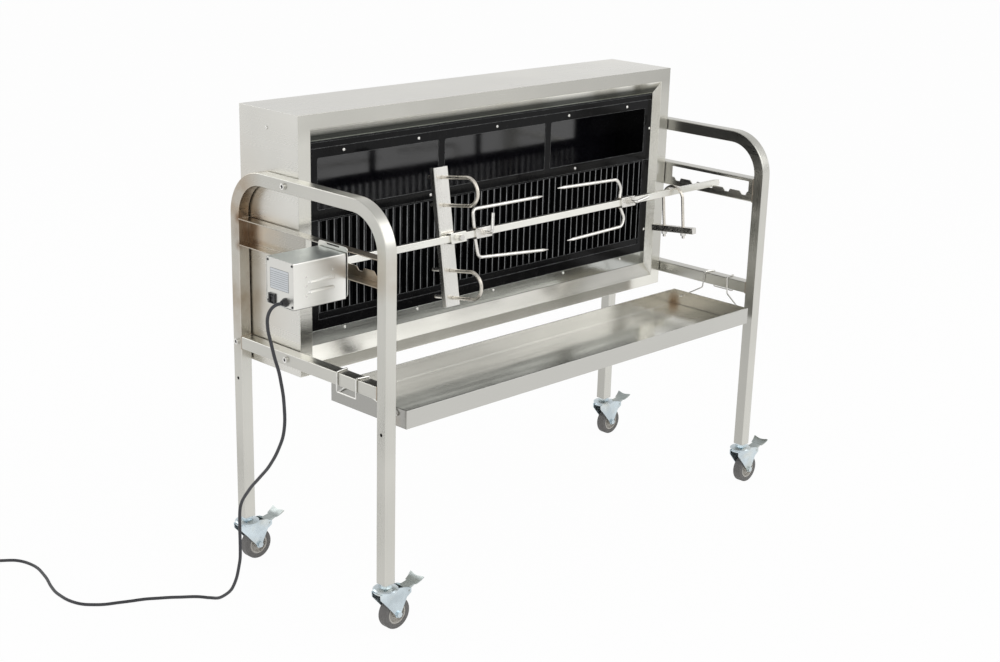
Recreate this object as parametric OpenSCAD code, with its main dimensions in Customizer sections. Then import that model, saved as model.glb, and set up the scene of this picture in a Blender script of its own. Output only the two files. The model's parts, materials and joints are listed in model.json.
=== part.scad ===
// Spit roaster: two hooped side frames on casters carry a fire cabinet, a motor-driven
// square spit with its forks and clamps, and a drip tray hung on wire hangers.
// X runs along the spit, Y towards the cabinet, Z up from the floor, all in millimetres.

/* [Side frames] */
// Length over the two side frames
frame_l = 1335; // [1250:5:1420]
// Depth of a side frame over its legs
frame_d = 534; // [520:2:560]
// Height of the hoops
frame_h = 971; // [950:1:1000]
// Width of the square tube
tube = 30; // [28:1:32]
// Wall of the square tube
tube_wall = 1.5; // [1.2:0.1:2]
// Outer corner radius of the square tube
tube_r = 2.5; // [2.2:0.1:3]
// Outer bend radius of the hoops
bend_r = 110; // [95:1:125]
// Height of the middle of the lower rails
rail_z = 560; // [552:1:566]
// Height of the open holes in the legs
leg_hole_z = 470; // [400:5:500]
// Diameter of the open holes in the legs
leg_hole_d = 8; // [6:0.5:10]
// Shank diameter of the bolts between frames and cabinet
bolt_d = 6; // [5:1:8]

/* [Spit racks] */
// Distance from the hoops' top to the racks' top
rack_drop = 116.5; // [113:0.5:121]
// Height of a rack over its flanges
rack_h = 62; // [58:1:66]
// Sheet thickness of the racks
rack_t = 2; // [1.5:0.5:3]
// Distance from the rack's top to its window
window_drop = 8.5; // [7:0.5:10]
// Distance from the rack's top to the crests between notches
crest_drop = 38; // [36:0.5:40]
// Depth of a notch
notch_depth = 8.5; // [7:0.5:10]
// Distance between notches
notch_pitch = 55.3; // [50:0.1:58]
// Number of notches
notch_count = 5; // [3:1:5]
// Distance from the front leg to the front notch
notch_in = 29.8; // [27:0.1:34]

/* [Spit] */
// Width of the square spit bar
spit = 16; // [15:0.5:17]
// Angle at which the spit rests
spit_turn = -8.9; // [-12:0.1:0]
// Clearance of the fittings around the bar
slide_gap = 0.3; // [0.2:0.05:0.4]
// Wall of the square sleeves
sleeve_wall = 3.9; // [3.5:0.1:4.5]
// Diameter of the round wire of forks and clamps
rod_d = 8; // [7:0.5:9]

/* [Cross brace] */
// Place of the brace along the spit
brace_x = -320; // [-330:1:-310]
// Height of the brace above the spit
brace_up = 162; // [155:1:165]
// Height of the brace below the spit
brace_down = 158; // [155:1:165]
// Width of the brace channel
brace_w = 43; // [40:1:46]
// Depth of the brace flanges
brace_depth = 15; // [12:1:18]
// Sheet thickness of the brace
brace_t = 2; // [1.5:0.5:3]
// Length of the brace sleeve
brace_sleeve_l = 48; // [44:1:50]
// Distance between the legs of a clamping bow
bow_w = 63.5; // [60:0.5:66]
// Distance of the bows from the spit
bow_offset = 107; // [100:1:112]
// Reach of the upper bow in front of the spit
bow_reach_top = 104; // [95:1:110]
// Reach of the lower bow in front of the spit
bow_reach_bottom = 89; // [80:1:100]
// Length of a bow from its crown to its ends
bow_l = 160; // [150:1:170]

/* [Forks] */
// Length of a fork sleeve
fork_sleeve_l = 51; // [45:1:55]
// Left end of the left fork's sleeve
left_fork_x = -251.6; // [-252:0.1:-240]
// Right end of the right fork's sleeve
right_fork_x = 313; // [300:1:325]
// Length of the handle on a locking screw
handle_l = 45; // [38:1:50]
// Distance of the handle from the bar's face
handle_out = 29; // [26:1:34]

/* [Leg clamp] */
// Place of the leg clamp along the spit
clamp_x = 480; // [470:1:490]
// Angle at which the clamp hangs
clamp_turn = -5.9; // [-10:0.1:0]
// Distance from the spit's middle to the clamp bar's middle
clamp_drop = 99; // [90:1:105]
// Length of the clamp bar
clamp_bar_l = 136; // [125:1:145]
// Length of the bow's legs below the clamp bar
clamp_tail = 14; // [12:1:20]

/* [Cabinet] */
// Depth of the cabinet, measured from the frames' back
cabinet_d = 208; // [200:1:216]
// Distance from the rails' middle down to the cabinet's underside
cabinet_drop = 47; // [40:1:55]
// Height of the cabinet
cabinet_h = 595; // [585:1:605]
// Gap between the cabinet and each side frame
cabinet_gap = 2.5; // [2:0.5:4]
// Sheet thickness of the cabinet
sheet = 1.2; // [1:0.1:1.5]
// Width of the upright strips of the surround
surround_side = 34; // [30:1:38]
// Height of the top strip of the surround
surround_top = 33; // [30:1:38]
// Height of the bottom strip of the surround
surround_bottom = 28; // [24:1:32]
// Depth of the surround
surround_d = 22; // [20:0.5:26]
// Rise of the surround's sloping faces
surround_slope = 32.5; // [28:0.5:36]
// Inward slope of the surround's side faces
side_slope = 10; // [6:1:14]
// Height of the screw strip below the fire basket
strip_h = 33; // [28:1:36]

/* [Fire basket] */
// Sheet thickness of the basket front
basket_t = 2; // [1.5:0.5:3]
// Height of the windows
window_h = 117; // [110:1:125]
// Width of the dividers between the windows
divider_w = 21; // [18:1:26]
// Distance of the dividers from the basket's middle
divider_x = 185; // [175:1:195]
// Width of the upright sides of the basket front
stile_w = 27; // [24:1:32]
// Height of the plain band above the windows
head_h = 39; // [36:1:42]
// Height of the stepped lip on that band
lip_h = 17; // [14:1:20]
// Height of the middle band
mid_h = 23; // [20:1:28]
// Height of the bottom band above the screw strip
base_h = 40; // [36:1:44]
// Height of the step below the bars
step_h = 16; // [12:1:20]
// Distance between grate bars
bar_pitch = 22.3; // [20:0.1:26]
// Thickness of a flat grate bar
bar_t = 2.5; // [2:0.5:4]
// Depth of a flat grate bar
bar_depth = 16; // [12:1:20]
// Distance from the basket's front to its back plate
basket_d = 126; // [100:1:135]

/* [Drip tray] */
// Length of the tray
tray_l = 1222; // [1190:2:1226]
// Width of the tray
tray_w = 251; // [240:1:260]
// Height of the tray's sides
tray_h = 42; // [38:1:48]
// Distance from the rails' middle down to the tray's underside
tray_drop = 86; // [82:1:92]
// Distance of the tray's front edge in front of the frames
tray_out = 3; // [0:1:6]
// Sheet thickness of the tray
tray_t = 1.2; // [1:0.1:1.5]
// Diameter of the hanger wire
wire_d = 4; // [3.5:0.5:4.5]

/* [Motor unit] */
// Length of the motor housing
motor_l = 140; // [130:1:150]
// Width of the motor housing
motor_w = 92; // [90:1:100]
// Height of the motor housing
motor_h = 101; // [99:1:108]
// Distance from the spit's axis to the housing's top
motor_up = 31; // [30:0.5:34]
// Sheet thickness of the motor housing
motor_t = 1.2; // [1:0.1:1.5]
// Length of a louvre
louvre_l = 57; // [50:1:60]
// Teeth of the output gear, a multiple of four
gear_teeth = 40; // [36:4:40]
// Teeth of the motor pinion
pinion_teeth = 12; // [10:2:12]
// Module of the gears
gear_module = 1.25; // [1.2:0.05:1.25]

/* [Casters] */
// Height of the leg ends above the floor
caster_h = 117; // [115:1:122]
// Diameter of a wheel
wheel_d = 75; // [72:1:76]
// Width of a wheel
wheel_w = 24; // [22:1:26]
// Diameter of the rigid hub in a wheel
hub_d = 50; // [46:1:54]
// Distance of the wheel axle behind the swivel axis
trail = 25; // [22:1:30]
// Diameter of the swivel bearing
race_d = 58; // [54:1:60]
// Diameter of the wheel axle
axle_d = 8; // [7:0.5:9]
// Reach of the brake pedal from the swivel axis
pedal_reach = 96; // [90:1:100]
// Width of the brake pedal
pedal_w = 46; // [40:1:50]

/* [Hidden] */
$fn = 48;

// Clearances: pieces that seat, shafts that turn in bores, bolts through plain holes
seat_gap = 0.3;
run_gap = 0.06;
bolt_gap = 0.3;
// Allowance that carries a cut past the faces it opens
past = 1;

// Side frames: outer and inner faces, and the legs' middles
outer_x = frame_l / 2;
inner_x = outer_x - tube;
leg_x = outer_x - tube / 2;
leg_y = frame_d / 2 - tube / 2;
gap_y = frame_d / 2 - tube;
hoop_z = frame_h - tube / 2;
bend_y = frame_d / 2 - bend_r;
bend_z = frame_h - bend_r;
rail_top = rail_z + tube / 2;
rack_top = frame_h - rack_drop;
insert_l = 30;
stem_d = 10;
stem_l = 40;

// Cabinet
cabinet_x = inner_x - cabinet_gap;
cabinet_back = frame_d / 2;
cabinet_y = cabinet_back - cabinet_d;
cabinet_z = rail_z - cabinet_drop;
cabinet_top = cabinet_z + cabinet_h;
mouth_x = cabinet_x - surround_side;
mouth_bottom = cabinet_z + surround_bottom;
mouth_top = cabinet_top - surround_top;
bolt_y = cabinet_y + 12;

// Fire basket
basket_y = cabinet_y + surround_d;
basket_bottom = mouth_bottom + surround_slope;
basket_top = mouth_top - surround_slope;
basket_x = mouth_x + 5;
mouth_in = mouth_x - side_slope;
window_top = basket_top - head_h;
window_bottom = window_top - window_h;
mid_bottom = window_bottom - mid_h;
bars_bottom = basket_bottom + strip_h + base_h;
bars_x = mouth_in - stile_w;
windows = [[-bars_x, -divider_x - divider_w / 2], [-divider_x + divider_w / 2, divider_x - divider_w / 2],
    [divider_x + divider_w / 2, bars_x]];
window_r = 4;
liner_t = 1.5;
back_gap = 0.2;
liner_x = mouth_x - 1;
liner_bottom = basket_bottom + strip_h + 2;
liner_top = basket_top - 2;
back_y = basket_y + basket_d;
liner_end = back_y + liner_t + 2;

// Spit axis: the bar's turned journals sit in the chosen notch, counted from the front
spit_notch = 3;
front_notch = notch_in - gap_y;
notch_y = front_notch + (notch_count - 1) * notch_pitch;
journal_r = spit * 0.656;
crest_z = rack_top - crest_drop;
notch_bottom = crest_z - notch_depth;
spit_y = front_notch + (spit_notch - 1) * notch_pitch;
spit_z = notch_bottom + journal_r + seat_gap;
sleeve_in = spit + 2 * slide_gap;
sleeve_out = sleeve_in + 2 * sleeve_wall;
sleeve_face = sleeve_out / 2;
nut_h = 6.5;
nut_af = 13;
screw_gap = 0.08;

// Motor unit: plates and shafts are placed by their depth behind the housing's front
bracket_t = 2;
standoff = 2.5;
motor_x = outer_x + bracket_t + standoff;
motor_end = motor_x + motor_l;
motor_top = spit_z + motor_up;
motor_mid = motor_top - motor_h / 2;
gear_r = gear_module * gear_teeth / 2;
pinion_r = gear_module * pinion_teeth / 2;
pinion_z = spit_z - gear_r - pinion_r;
gear_w = 8;
gear_at = 6;
gear_body = 30;
socket_floor = 2;
spit_end_gap = 1;
rear_plate_at = 34;
plate_t = 3;
post_y = motor_w / 2 - 10;
post_z = motor_h / 2 - 10.5;
socket_d = sleeve_out + 8;
end_recess = 1;
end_t = 1.5;
flange_r = 11;
flange_gap = 0.8;
fittings_z = motor_top - motor_h + motor_t + flange_gap + flange_r;
rocker_at = [spit_y + 26, fittings_z];
gland_at = [spit_y - 17.5, fittings_z];
gland_r = 9.5;
gland_inner = 10;
gland_nose = 11;
rocker_w = 12;
rocker_tilt = 8;
rocker_flange = 3.5;

// Casters
axle_z = wheel_d / 2;
fork_in = wheel_w / 2 + 1.5;
fork_t = 2.5;
fork_top = caster_h - 17;
pedal_x = 56;
pedal_z = 86;

// Shift that centres the outline, from the left rocker to the right brake pedals
centre_x = (leg_x + pedal_reach - motor_end - rocker_flange + end_recess) / 2;

// Cord: diameter, and route from the gland to the floor and on to the coil
cord_d = 7.6;
cord_r = cord_d / 2;
floor_z = 4;
gland_tip = [end_recess - motor_end - gland_nose, gland_at[0], gland_at[1]];
hang = [[-834.9, -114.1, 761.0], [-846.4, -114.2, 756.2], [-855.1, -114.5, 747.2], [-859.6, -115, 735.4],
    [-860.2, -115.8, 721.5], [-858.2, -118, 700], [-850.5, -124, 655], [-841, -131, 605], [-836.5, -137, 540],
    [-836, -130, 475], [-836, -85, 398], [-836, -10, 318], [-836, 26, 265], [-836, 31, 205],
    [-836, 34, 130], [-836, 62, 55], [-841, 105, 14]];
lying = [[-852, 140], [-880, 171], [-953, 224], [-1015, 254], [-1060, 280], [-1090, 325], [-1092, 400],
    [-1066, 490], [-1056, 555], [-1070, 607], [-1101, 634], [-1135, 658]];
cord_end = [-1168, 682, floor_z];
cord_end_from = [-1150, 669, floor_z];
cord_sides = 8;

// Coil: turns in, climbs a layer, and turns out again
coil_turns = 3;
coil_step = 9.6;
coil_layer = 8.8;
coil_in = 30.4;
coil_out = coil_in + coil_step * coil_turns;
coil_rings = 24;
coil_sides = 6;

// Shared shapes

module centred() {
    translate([-centre_x, 0, 0]) children();
}

module mirrored_x() {
    children();
    mirror([1, 0, 0]) children();
}

module mirrored_y() {
    children();
    mirror([0, 1, 0]) children();
}

module rounded_rect(w, h, r) {
    square([w - 2 * r, h], center = true);
    square([w, h - 2 * r], center = true);
    for (x = [-1, 1], y = [-1, 1]) translate([x * (w / 2 - r), y * (h / 2 - r)]) circle(r);
}

module tube_section() {
    difference() {
        rounded_rect(tube, tube, tube_r);
        rounded_rect(tube - 2 * tube_wall, tube - 2 * tube_wall, tube_r - tube_wall);
    }
}

// A profile drawn with X across and Y up, run along +X from the place x
module along_x(x, l) {
    translate([x, 0, 0]) rotate([90, 0, 90]) linear_extrude(l) children();
}

// A profile drawn with X along the object and Y up, run along +Y from the place y
module along_y(y, l) {
    translate([0, y + l, 0]) rotate([90, 0, 0]) linear_extrude(l) children();
}

module hex_nut(af, h, hole) {
    difference() {
        cylinder(d = af / cos(30), h = h, $fn = 6);
        translate([0, 0, -past]) cylinder(d = hole, h = h + 2 * past);
    }
}

function unit(v) = v / norm(v);
function heading(v) = atan2(v[1], v[0]);

// Angle by which the flat path p turns at its point i, positive to the left
function turn_at(p, i) = let(a = p[i] - p[i - 1], b = p[i + 1] - p[i])
    atan2(a[0] * b[1] - a[1] * b[0], a * b);

// Length that the bend at point i takes from the runs beside it
function bend_cut(p, r, i) =
    i == 0 || i == len(p) - 1 ? 0 : r * tan(abs(turn_at(p, i)) / 2);

// Round bar bent in the XY plane along the path p, with every bend at the radius r
module bent_rod(p, r, d) {
    for (i = [0:len(p) - 2]) {
        run = p[i + 1] - p[i];
        translate(p[i]) rotate([0, 0, heading(run)]) translate([bend_cut(p, r, i), 0, 0])
            rotate([0, 90, 0])
            cylinder(d = d, h = norm(run) - bend_cut(p, r, i) - bend_cut(p, r, i + 1));
    }
    for (i = [1:len(p) - 2]) {
        turn = turn_at(p, i);
        side = sign(turn);
        in = unit(p[i] - p[i - 1]);
        across = side * [-in[1], in[0]];
        middle = p[i] - in * bend_cut(p, r, i) + across * r;
        first = side > 0 ? heading(-across) : heading(-across) + turn;
        translate(middle) rotate([0, 0, first])
            rotate_extrude(angle = abs(turn)) translate([r, 0]) circle(d = d);
    }
}

// Path p in space with each corner rounded by an arc that starts the length r before it
function rounded_path(p, r, s) = concat([p[0]],
    [for (i = [1:len(p) - 2], k = [0:s])
        let(a = p[i] + r * unit(p[i - 1] - p[i]), b = p[i] + r * unit(p[i + 1] - p[i]), t = k / s)
        (1 - t) * (1 - t) * a + 2 * t * (1 - t) * p[i] + t * t * b],
    [p[len(p) - 1]]);

// Direction of the path p at its ring i
function direction(p, i) = unit(p[min(i + 1, len(p) - 1)] - p[max(i - 1, 0)]);

// Sideways directions carried along the path p without twist, from the direction u on
function carried(p, i, u) = let(along = direction(p, i), v = unit(u - (u * along) * along))
    i == len(p) - 1 ? [v] : concat([v], carried(p, i + 1, v));

// Tube swept along the rings p; its last ring has the radius r times tip, and seed is a
// sideways direction at the start
module swept_tube(p, r, sides, seed, tip = 1) {
    count = len(p);
    us = carried(p, 0, seed);
    rings = [for (i = [0:count - 1])
        let(u = us[i], v = cross(direction(p, i), u), size = i == count - 1 ? r * tip : r)
        for (k = [0:sides - 1])
            p[i] + size * (cos(360 * k / sides) * u + sin(360 * k / sides) * v)];
    walls = [for (i = [0:count - 2], k = [0:sides - 1])
        let(a = i * sides + k, b = i * sides + (k + 1) % sides)
        each [[a, b + sides, b], [a, a + sides, b + sides]]];
    start = [for (k = [1:sides - 2]) [0, k, k + 1]];
    finish = [for (k = [1:sides - 2]) (count - 1) * sides * [1, 1, 1] + [0, k + 1, k]];
    polyhedron(rings, concat(walls, start, finish), 10);
}

// Side frames

module right_hoop_shape() {
    difference() {
        translate([leg_x, 0, 0]) {
            mirrored_y() {
                translate([0, leg_y, caster_h]) linear_extrude(bend_z - caster_h) tube_section();
                translate([0, bend_y, bend_z]) rotate([90, 0, 90])
                    rotate_extrude(angle = 90) translate([bend_r - tube / 2, 0]) tube_section();
            }
            translate([0, bend_y, hoop_z]) rotate([90, 0, 0])
                linear_extrude(2 * bend_y) tube_section();
        }
        // Bolt holes through the top and the back leg
        for (at = [[bolt_y, hoop_z], [leg_y, rail_z]])
            translate([inner_x - past, at[0], at[1]]) rotate([0, 90, 0])
                cylinder(d = bolt_d + 2 * bolt_gap, h = tube + 2 * past);
        // Open holes in the outer walls of the legs
        for (y = [-leg_y, leg_y])
            translate([leg_x, y, leg_hole_z]) rotate([0, 90, 0])
                cylinder(d = leg_hole_d, h = tube);
    }
}

module right_rail_shape() {
    difference() {
        translate([leg_x, gap_y, rail_z]) rotate([90, 0, 0]) linear_extrude(2 * gap_y) tube_section();
        translate([inner_x - past, bolt_y, rail_z]) rotate([0, 90, 0])
            cylinder(d = bolt_d + 2 * bolt_gap, h = tube + 2 * past);
    }
}

module left_hoop() {
    color("silver") centred() mirror([1, 0, 0]) right_hoop_shape();
}

module right_hoop() {
    color("silver") centred() right_hoop_shape();
}

module lower_rails() {
    color("silver") centred() mirrored_x() right_rail_shape();
}

// Distance from the notch's middle to the foot of a flank with the run given,
// so that the journal clears the flank
function flank_foot(run) = let(l = norm([run, notch_depth]))
    ((journal_r + 0.5) * l - (journal_r + seat_gap) * run) / notch_depth;

back_run = 8;
front_run = 4.2;
window_back = notch_y + 20;
window_front = front_notch - 15.5;

// Outline of a rack's window in Y and Z; its lower edge is cut into notches
module window_outline() {
    polygon(concat(
        [[window_front, crest_z + 3], [window_front, rack_top - window_drop],
            [window_back, rack_top - window_drop], [window_back, crest_z]],
        [for (i = [0:notch_count - 1], k = [0:3])
            let(y = notch_y - i * notch_pitch, back = flank_foot(back_run), front = flank_foot(front_run))
            [[y + back + back_run, crest_z], [y + back, notch_bottom],
                [y - front, notch_bottom], [y - front - front_run, crest_z]][k]]));
}

module rack_section() {
    intersection() {
        difference() {
            translate([tube, rack_h / 2]) rounded_rect(2 * tube, rack_h, 3);
            translate([tube + rack_t, rack_h / 2]) rounded_rect(2 * tube, rack_h - 2 * rack_t, 1);
        }
        square([tube, rack_h]);
    }
}

module right_rack_shape() {
    difference() {
        translate([inner_x, gap_y, rack_top - rack_h]) rotate([90, 0, 0])
            linear_extrude(2 * gap_y) rack_section();
        along_x(inner_x - past, rack_t + 2 * past) window_outline();
    }
}

module left_rack() {
    color("gainsboro") centred() mirror([1, 0, 0]) right_rack_shape();
}

module right_rack() {
    color("gainsboro") centred() right_rack_shape();
}

// Plugs in the leg ends that take the caster stems
module leg_inserts() {
    color("dimgray") centred() mirrored_x() mirrored_y() translate([leg_x, leg_y, caster_h])
        difference() {
            linear_extrude(insert_l)
                rounded_rect(tube - 2 * tube_wall - 0.4, tube - 2 * tube_wall - 0.4, 1);
            translate([0, 0, -past]) cylinder(d = stem_d + 2 * run_gap, h = insert_l + 2 * past);
        }
}

// Bolts from the frames into the cabinet, each with its distance ring
module frame_bolt() {
    union() {
        translate([outer_x, 0, 0]) rotate([0, 90, 0]) cylinder(d = bolt_d * 2.1, h = 4);
        rotate([0, 90, 0]) translate([0, 0, cabinet_x - 10])
            cylinder(d = bolt_d, h = outer_x - cabinet_x + 10 + past);
        translate([cabinet_x - sheet - 5, 0, 0]) rotate([0, 90, 0])
            cylinder(d = 10 / cos(30), h = 5, $fn = 6);
    }
    translate([cabinet_x, 0, 0]) rotate([0, 90, 0]) difference() {
        cylinder(d = 14, h = cabinet_gap);
        translate([0, 0, -past]) cylinder(d = bolt_d + 2 * bolt_gap, h = cabinet_gap + 2 * past);
    }
}

bolt_places = [[bolt_y, hoop_z], [bolt_y, rail_z], [leg_y, rail_z]];

module frame_bolts() {
    color("lightgray") centred() mirrored_x()
        for (at = bolt_places) translate([0, at[0], at[1]]) frame_bolt();
}

// Cabinet

module cabinet_shell() {
    color("lightgray") centred() difference() {
        translate([-cabinet_x, cabinet_y + sheet, cabinet_z])
            cube([2 * cabinet_x, cabinet_d - sheet, cabinet_h]);
        translate([-cabinet_x + sheet, cabinet_y, cabinet_z + sheet])
            cube([2 * (cabinet_x - sheet), cabinet_d - sheet, cabinet_h - 2 * sheet]);
        mirrored_x() for (at = bolt_places) translate([cabinet_x - 2 * sheet, at[0], at[1]])
            rotate([0, 90, 0]) cylinder(d = bolt_d + 2 * bolt_gap, h = 4 * sheet);
    }
}

// Tapering block that fills the mouth, larger by t all round and longer by over at each end
module funnel(t, over) {
    front = cabinet_y - over;
    back = basket_y + over;
    rise = surround_slope * over / surround_d;
    run = side_slope * over / surround_d;
    intersection() {
        along_x(-cabinet_x, 2 * cabinet_x) polygon([
            [front, mouth_bottom - t - rise], [back, basket_bottom - t + rise],
            [back, basket_top + t - rise], [front, mouth_top + t + rise]]);
        translate([0, 0, cabinet_z]) linear_extrude(cabinet_h) polygon([
            [-mouth_x - t - run, front], [mouth_x + t + run, front],
            [mouth_in + t - run, back], [-mouth_in - t + run, back]]);
    }
}

// Face frame with four faces that slope inwards to the fire basket
module cabinet_surround() {
    color("whitesmoke") centred() {
        along_y(cabinet_y, sheet) difference() {
            translate([-cabinet_x, cabinet_z]) square([2 * cabinet_x, cabinet_h]);
            translate([-mouth_x, mouth_bottom]) square([2 * mouth_x, mouth_top - mouth_bottom]);
        }
        difference() {
            funnel(sheet, 0);
            funnel(0, past);
        }
    }
}

// Fire basket

// Upper half of the basket front: three windows under a stepped lip
module basket_front() {
    color([0.08, 0.08, 0.09]) centred() {
        along_y(basket_y, basket_t) difference() {
            translate([-basket_x, mid_bottom]) square([2 * basket_x, basket_top - lip_h - mid_bottom]);
            for (w = windows) translate([(w[0] + w[1]) / 2, window_bottom + window_h / 2])
                rounded_rect(w[1] - w[0], window_h, window_r);
        }
        along_y(basket_y + basket_t, basket_t)
            translate([-basket_x, basket_top - lip_h - 6]) square([2 * basket_x, lip_h + 6]);
        along_y(basket_y, basket_t)
            translate([-basket_x, basket_top - 4]) square([2 * basket_x, 4]);
    }
}

// Lower half of the basket front: a U-shaped plate with upright flat bars set on edge
module basket_grate() {
    bar_count = floor((2 * bars_x - bar_t) / bar_pitch);
    bar_below = 18;
    bar_above = 12;
    strip_w = 22;
    weld_gap = 0.1;
    strip_y = basket_y + basket_t + weld_gap;
    bar_y = strip_y + basket_t + weld_gap;
    color([0.06, 0.06, 0.07]) centred() {
        along_y(basket_y, basket_t) difference() {
            translate([-basket_x, basket_bottom])
                square([2 * basket_x, mid_bottom - basket_bottom]);
            translate([-bars_x, bars_bottom - step_h])
                square([2 * bars_x, mid_bottom - bars_bottom + step_h + past]);
        }
        // Strips that carry the bars; the lower one forms the step
        for (z = [bars_bottom - strip_w, mid_bottom - 4])
            translate([-bars_x - strip_w / 2, strip_y, z])
                cube([2 * bars_x + strip_w, basket_t, strip_w]);
        for (i = [0:bar_count])
            translate([(i - bar_count / 2) * bar_pitch - bar_t / 2, bar_y, bars_bottom - bar_below])
                cube([bar_t, bar_depth, mid_bottom + bar_above - bars_bottom + bar_below]);
    }
}

// Steel strip across the foot of the basket, which its screws hold to the surround
module screw_strip() {
    color("whitesmoke") centred()
        translate([-mouth_in + seat_gap, basket_y - sheet, basket_bottom + seat_gap])
        cube([2 * (mouth_in - seat_gap), sheet, strip_h - seat_gap]);
}

// Floor, roof and ends of the basket in one folded band
module basket_liner() {
    y = basket_y + 2 * basket_t;
    color([0.1, 0.1, 0.11]) centred() difference() {
        translate([-liner_x, y, liner_bottom])
            cube([2 * liner_x, liner_end - y, liner_top - liner_bottom]);
        translate([-liner_x + liner_t, y - past, liner_bottom + liner_t])
            cube([2 * (liner_x - liner_t), liner_end - y + 2 * past, liner_top - liner_bottom - 2 * liner_t]);
    }
}

// Glossy plate at the back of the basket, in which the front shows as a reflection
module basket_back() {
    inset = liner_t + back_gap;
    color([0.07, 0.07, 0.08]) centred() translate([-liner_x + inset, back_y, liner_bottom + inset])
        cube([2 * (liner_x - inset), liner_t, liner_top - liner_bottom - 2 * inset]);
}

// Motor unit

module motor_section(inset, r) {
    translate([spit_y, motor_mid]) rounded_rect(motor_w - 2 * inset, motor_h - 2 * inset, r);
}

module capsule(l, r) {
    rotate([0, 90, 0]) cylinder(r = r, h = l, center = true);
    for (x = [-l / 2, l / 2]) translate([x, 0, 0]) sphere(r * 1.01);
}

// Middle of the louvres behind the housing's front, and their heights below its top
louvre_in = 66;
louvre_drops = [48, 69.5];
louvre_at = [-motor_x - louvre_in, -motor_w / 2, 0];
louvre_z = [for (d = louvre_drops) motor_top - d];

// Sleeve of sheet with two pressed louvres in its front face
module motor_cover() {
    hood_r = 9;
    hood_in = 5;
    cut = hood_in - motor_t / 2;
    color("gainsboro") centred() {
        difference() {
            along_x(-motor_end, motor_l) difference() {
                motor_section(0, 3);
                motor_section(motor_t, 1.8);
            }
            for (z = louvre_z) translate([louvre_at[0], spit_y + louvre_at[1] + motor_t / 2, z + 1.5])
                cube([louvre_l, 3 * motor_t, 5], center = true);
        }
        for (z = louvre_z) translate([louvre_at[0], spit_y + louvre_at[1] + hood_in, z]) difference() {
            capsule(louvre_l, hood_r);
            capsule(louvre_l, hood_r - motor_t);
            translate([-louvre_l, -2 * hood_r, -2 * hood_r])
                cube([2 * louvre_l, 4 * hood_r, 2 * hood_r]);
            translate([-louvre_l, -cut, -2 * hood_r])
                cube([2 * louvre_l, 4 * hood_r, 4 * hood_r]);
        }
    }
}

// Recessed plate at the far end, with openings for the switch and the cord gland
module motor_end_plate() {
    color("silver") centred() difference() {
        along_x(-motor_end + end_recess, end_t) motor_section(motor_t + 0.2, 1.6);
        translate([-motor_end - past, rocker_at[0] - 9.2, rocker_at[1] - 10.2])
            cube([end_t + 3 * past, 18.4, 20.4]);
        translate([-motor_end - past, gland_at[0], gland_at[1]]) rotate([0, 90, 0])
            cylinder(d = 15.4, h = end_t + 3 * past);
    }
}

bracket_w = 96;
bracket_up = 7.5;
bracket_below = 40;
tongue_w = 43;

// Hanging plate: a tongue bent out of its upstand lies on the rack's top flange
module motor_bracket() {
    tongue_l = 9;
    color("gainsboro") centred() {
        difference() {
            along_x(-outer_x - bracket_t, bracket_t) difference() {
                translate([spit_y, rack_top + (bracket_up - rack_h - bracket_below) / 2])
                    rounded_rect(bracket_w, rack_h + bracket_below + bracket_up, 8);
                translate([spit_y - tongue_w / 2, rack_top + bracket_t])
                    square([tongue_w, bracket_up - bracket_t - 1.8]);
            }
            translate([-outer_x - 2 * bracket_t, spit_y, spit_z]) rotate([0, 90, 0])
                cylinder(d = socket_d, h = 4 * bracket_t);
        }
        translate([-outer_x - bracket_t, spit_y - tongue_w / 2, rack_top])
            cube([bracket_t + tongue_l, tongue_w, bracket_t]);
    }
}

// Front plate of the gearbox: bearing for the drive socket and feet against the bracket
module gear_plate() {
    color("lightgray") centred() {
        difference() {
            along_x(-motor_x - plate_t, plate_t) motor_section(motor_t + 0.2, 1.6);
            translate([-motor_x - plate_t - past, spit_y, spit_z]) rotate([0, 90, 0])
                cylinder(d = socket_d - 6 + 2 * run_gap, h = plate_t + 2 * past);
        }
        for (y = [-post_y, post_y], z = [-post_z, post_z - 16])
            translate([-motor_x, spit_y + y, motor_mid + z]) rotate([0, 90, 0])
                cylinder(d = 10, h = standoff);
    }
}

// Geared motor: can, rear bearing plate and the posts that tie it to the front plate
module motor_can() {
    can_l = 45;
    can_d = 50;
    color("dimgray") centred() difference() {
        union() {
            along_x(-motor_x - rear_plate_at - plate_t, plate_t) motor_section(6, 3);
            for (y = [-post_y, post_y], z = [-post_z, post_z])
                translate([-motor_x - rear_plate_at - 1, spit_y + y, motor_mid + z]) rotate([0, 90, 0])
                    cylinder(d = 8, h = rear_plate_at - plate_t + 1);
            translate([-motor_x - rear_plate_at - plate_t - can_l, spit_y, pinion_z])
                rotate([0, 90, 0]) cylinder(d = can_d, h = can_l + 1);
        }
        translate([-motor_x - rear_plate_at - plate_t - 6, spit_y, pinion_z]) rotate([0, 90, 0])
            cylinder(d = 6 + 2 * run_gap, h = plate_t + 7);
        translate([-motor_x - rear_plate_at - plate_t - 8, spit_y, spit_z]) rotate([0, 90, 0])
            cylinder(d = 10 + 2 * run_gap, h = plate_t + 9);
    }
}

// Outline of a gear with n straight-flanked teeth
function gear_outline(n) = [for (i = [0:n - 1], k = [0:3])
    let(r = gear_module * (n / 2 + [-1.15, 0.7, 0.7, -1.15][k]),
        a = (i + [-0.32, -0.14, 0.14, 0.32][k]) * 360 / n)
    r * [cos(a), sin(a)]];

module motor_pinion() {
    color("goldenrod") centred() {
        translate([0, spit_y, pinion_z]) along_x(-motor_x - gear_at - gear_w, gear_w)
            rotate([0, 0, 90]) polygon(gear_outline(pinion_teeth));
        translate([-motor_x - rear_plate_at - plate_t - 4, spit_y, pinion_z]) rotate([0, 90, 0])
            cylinder(d = 6, h = rear_plate_at + plate_t + 4 - gear_at + 2);
    }
}

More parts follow.
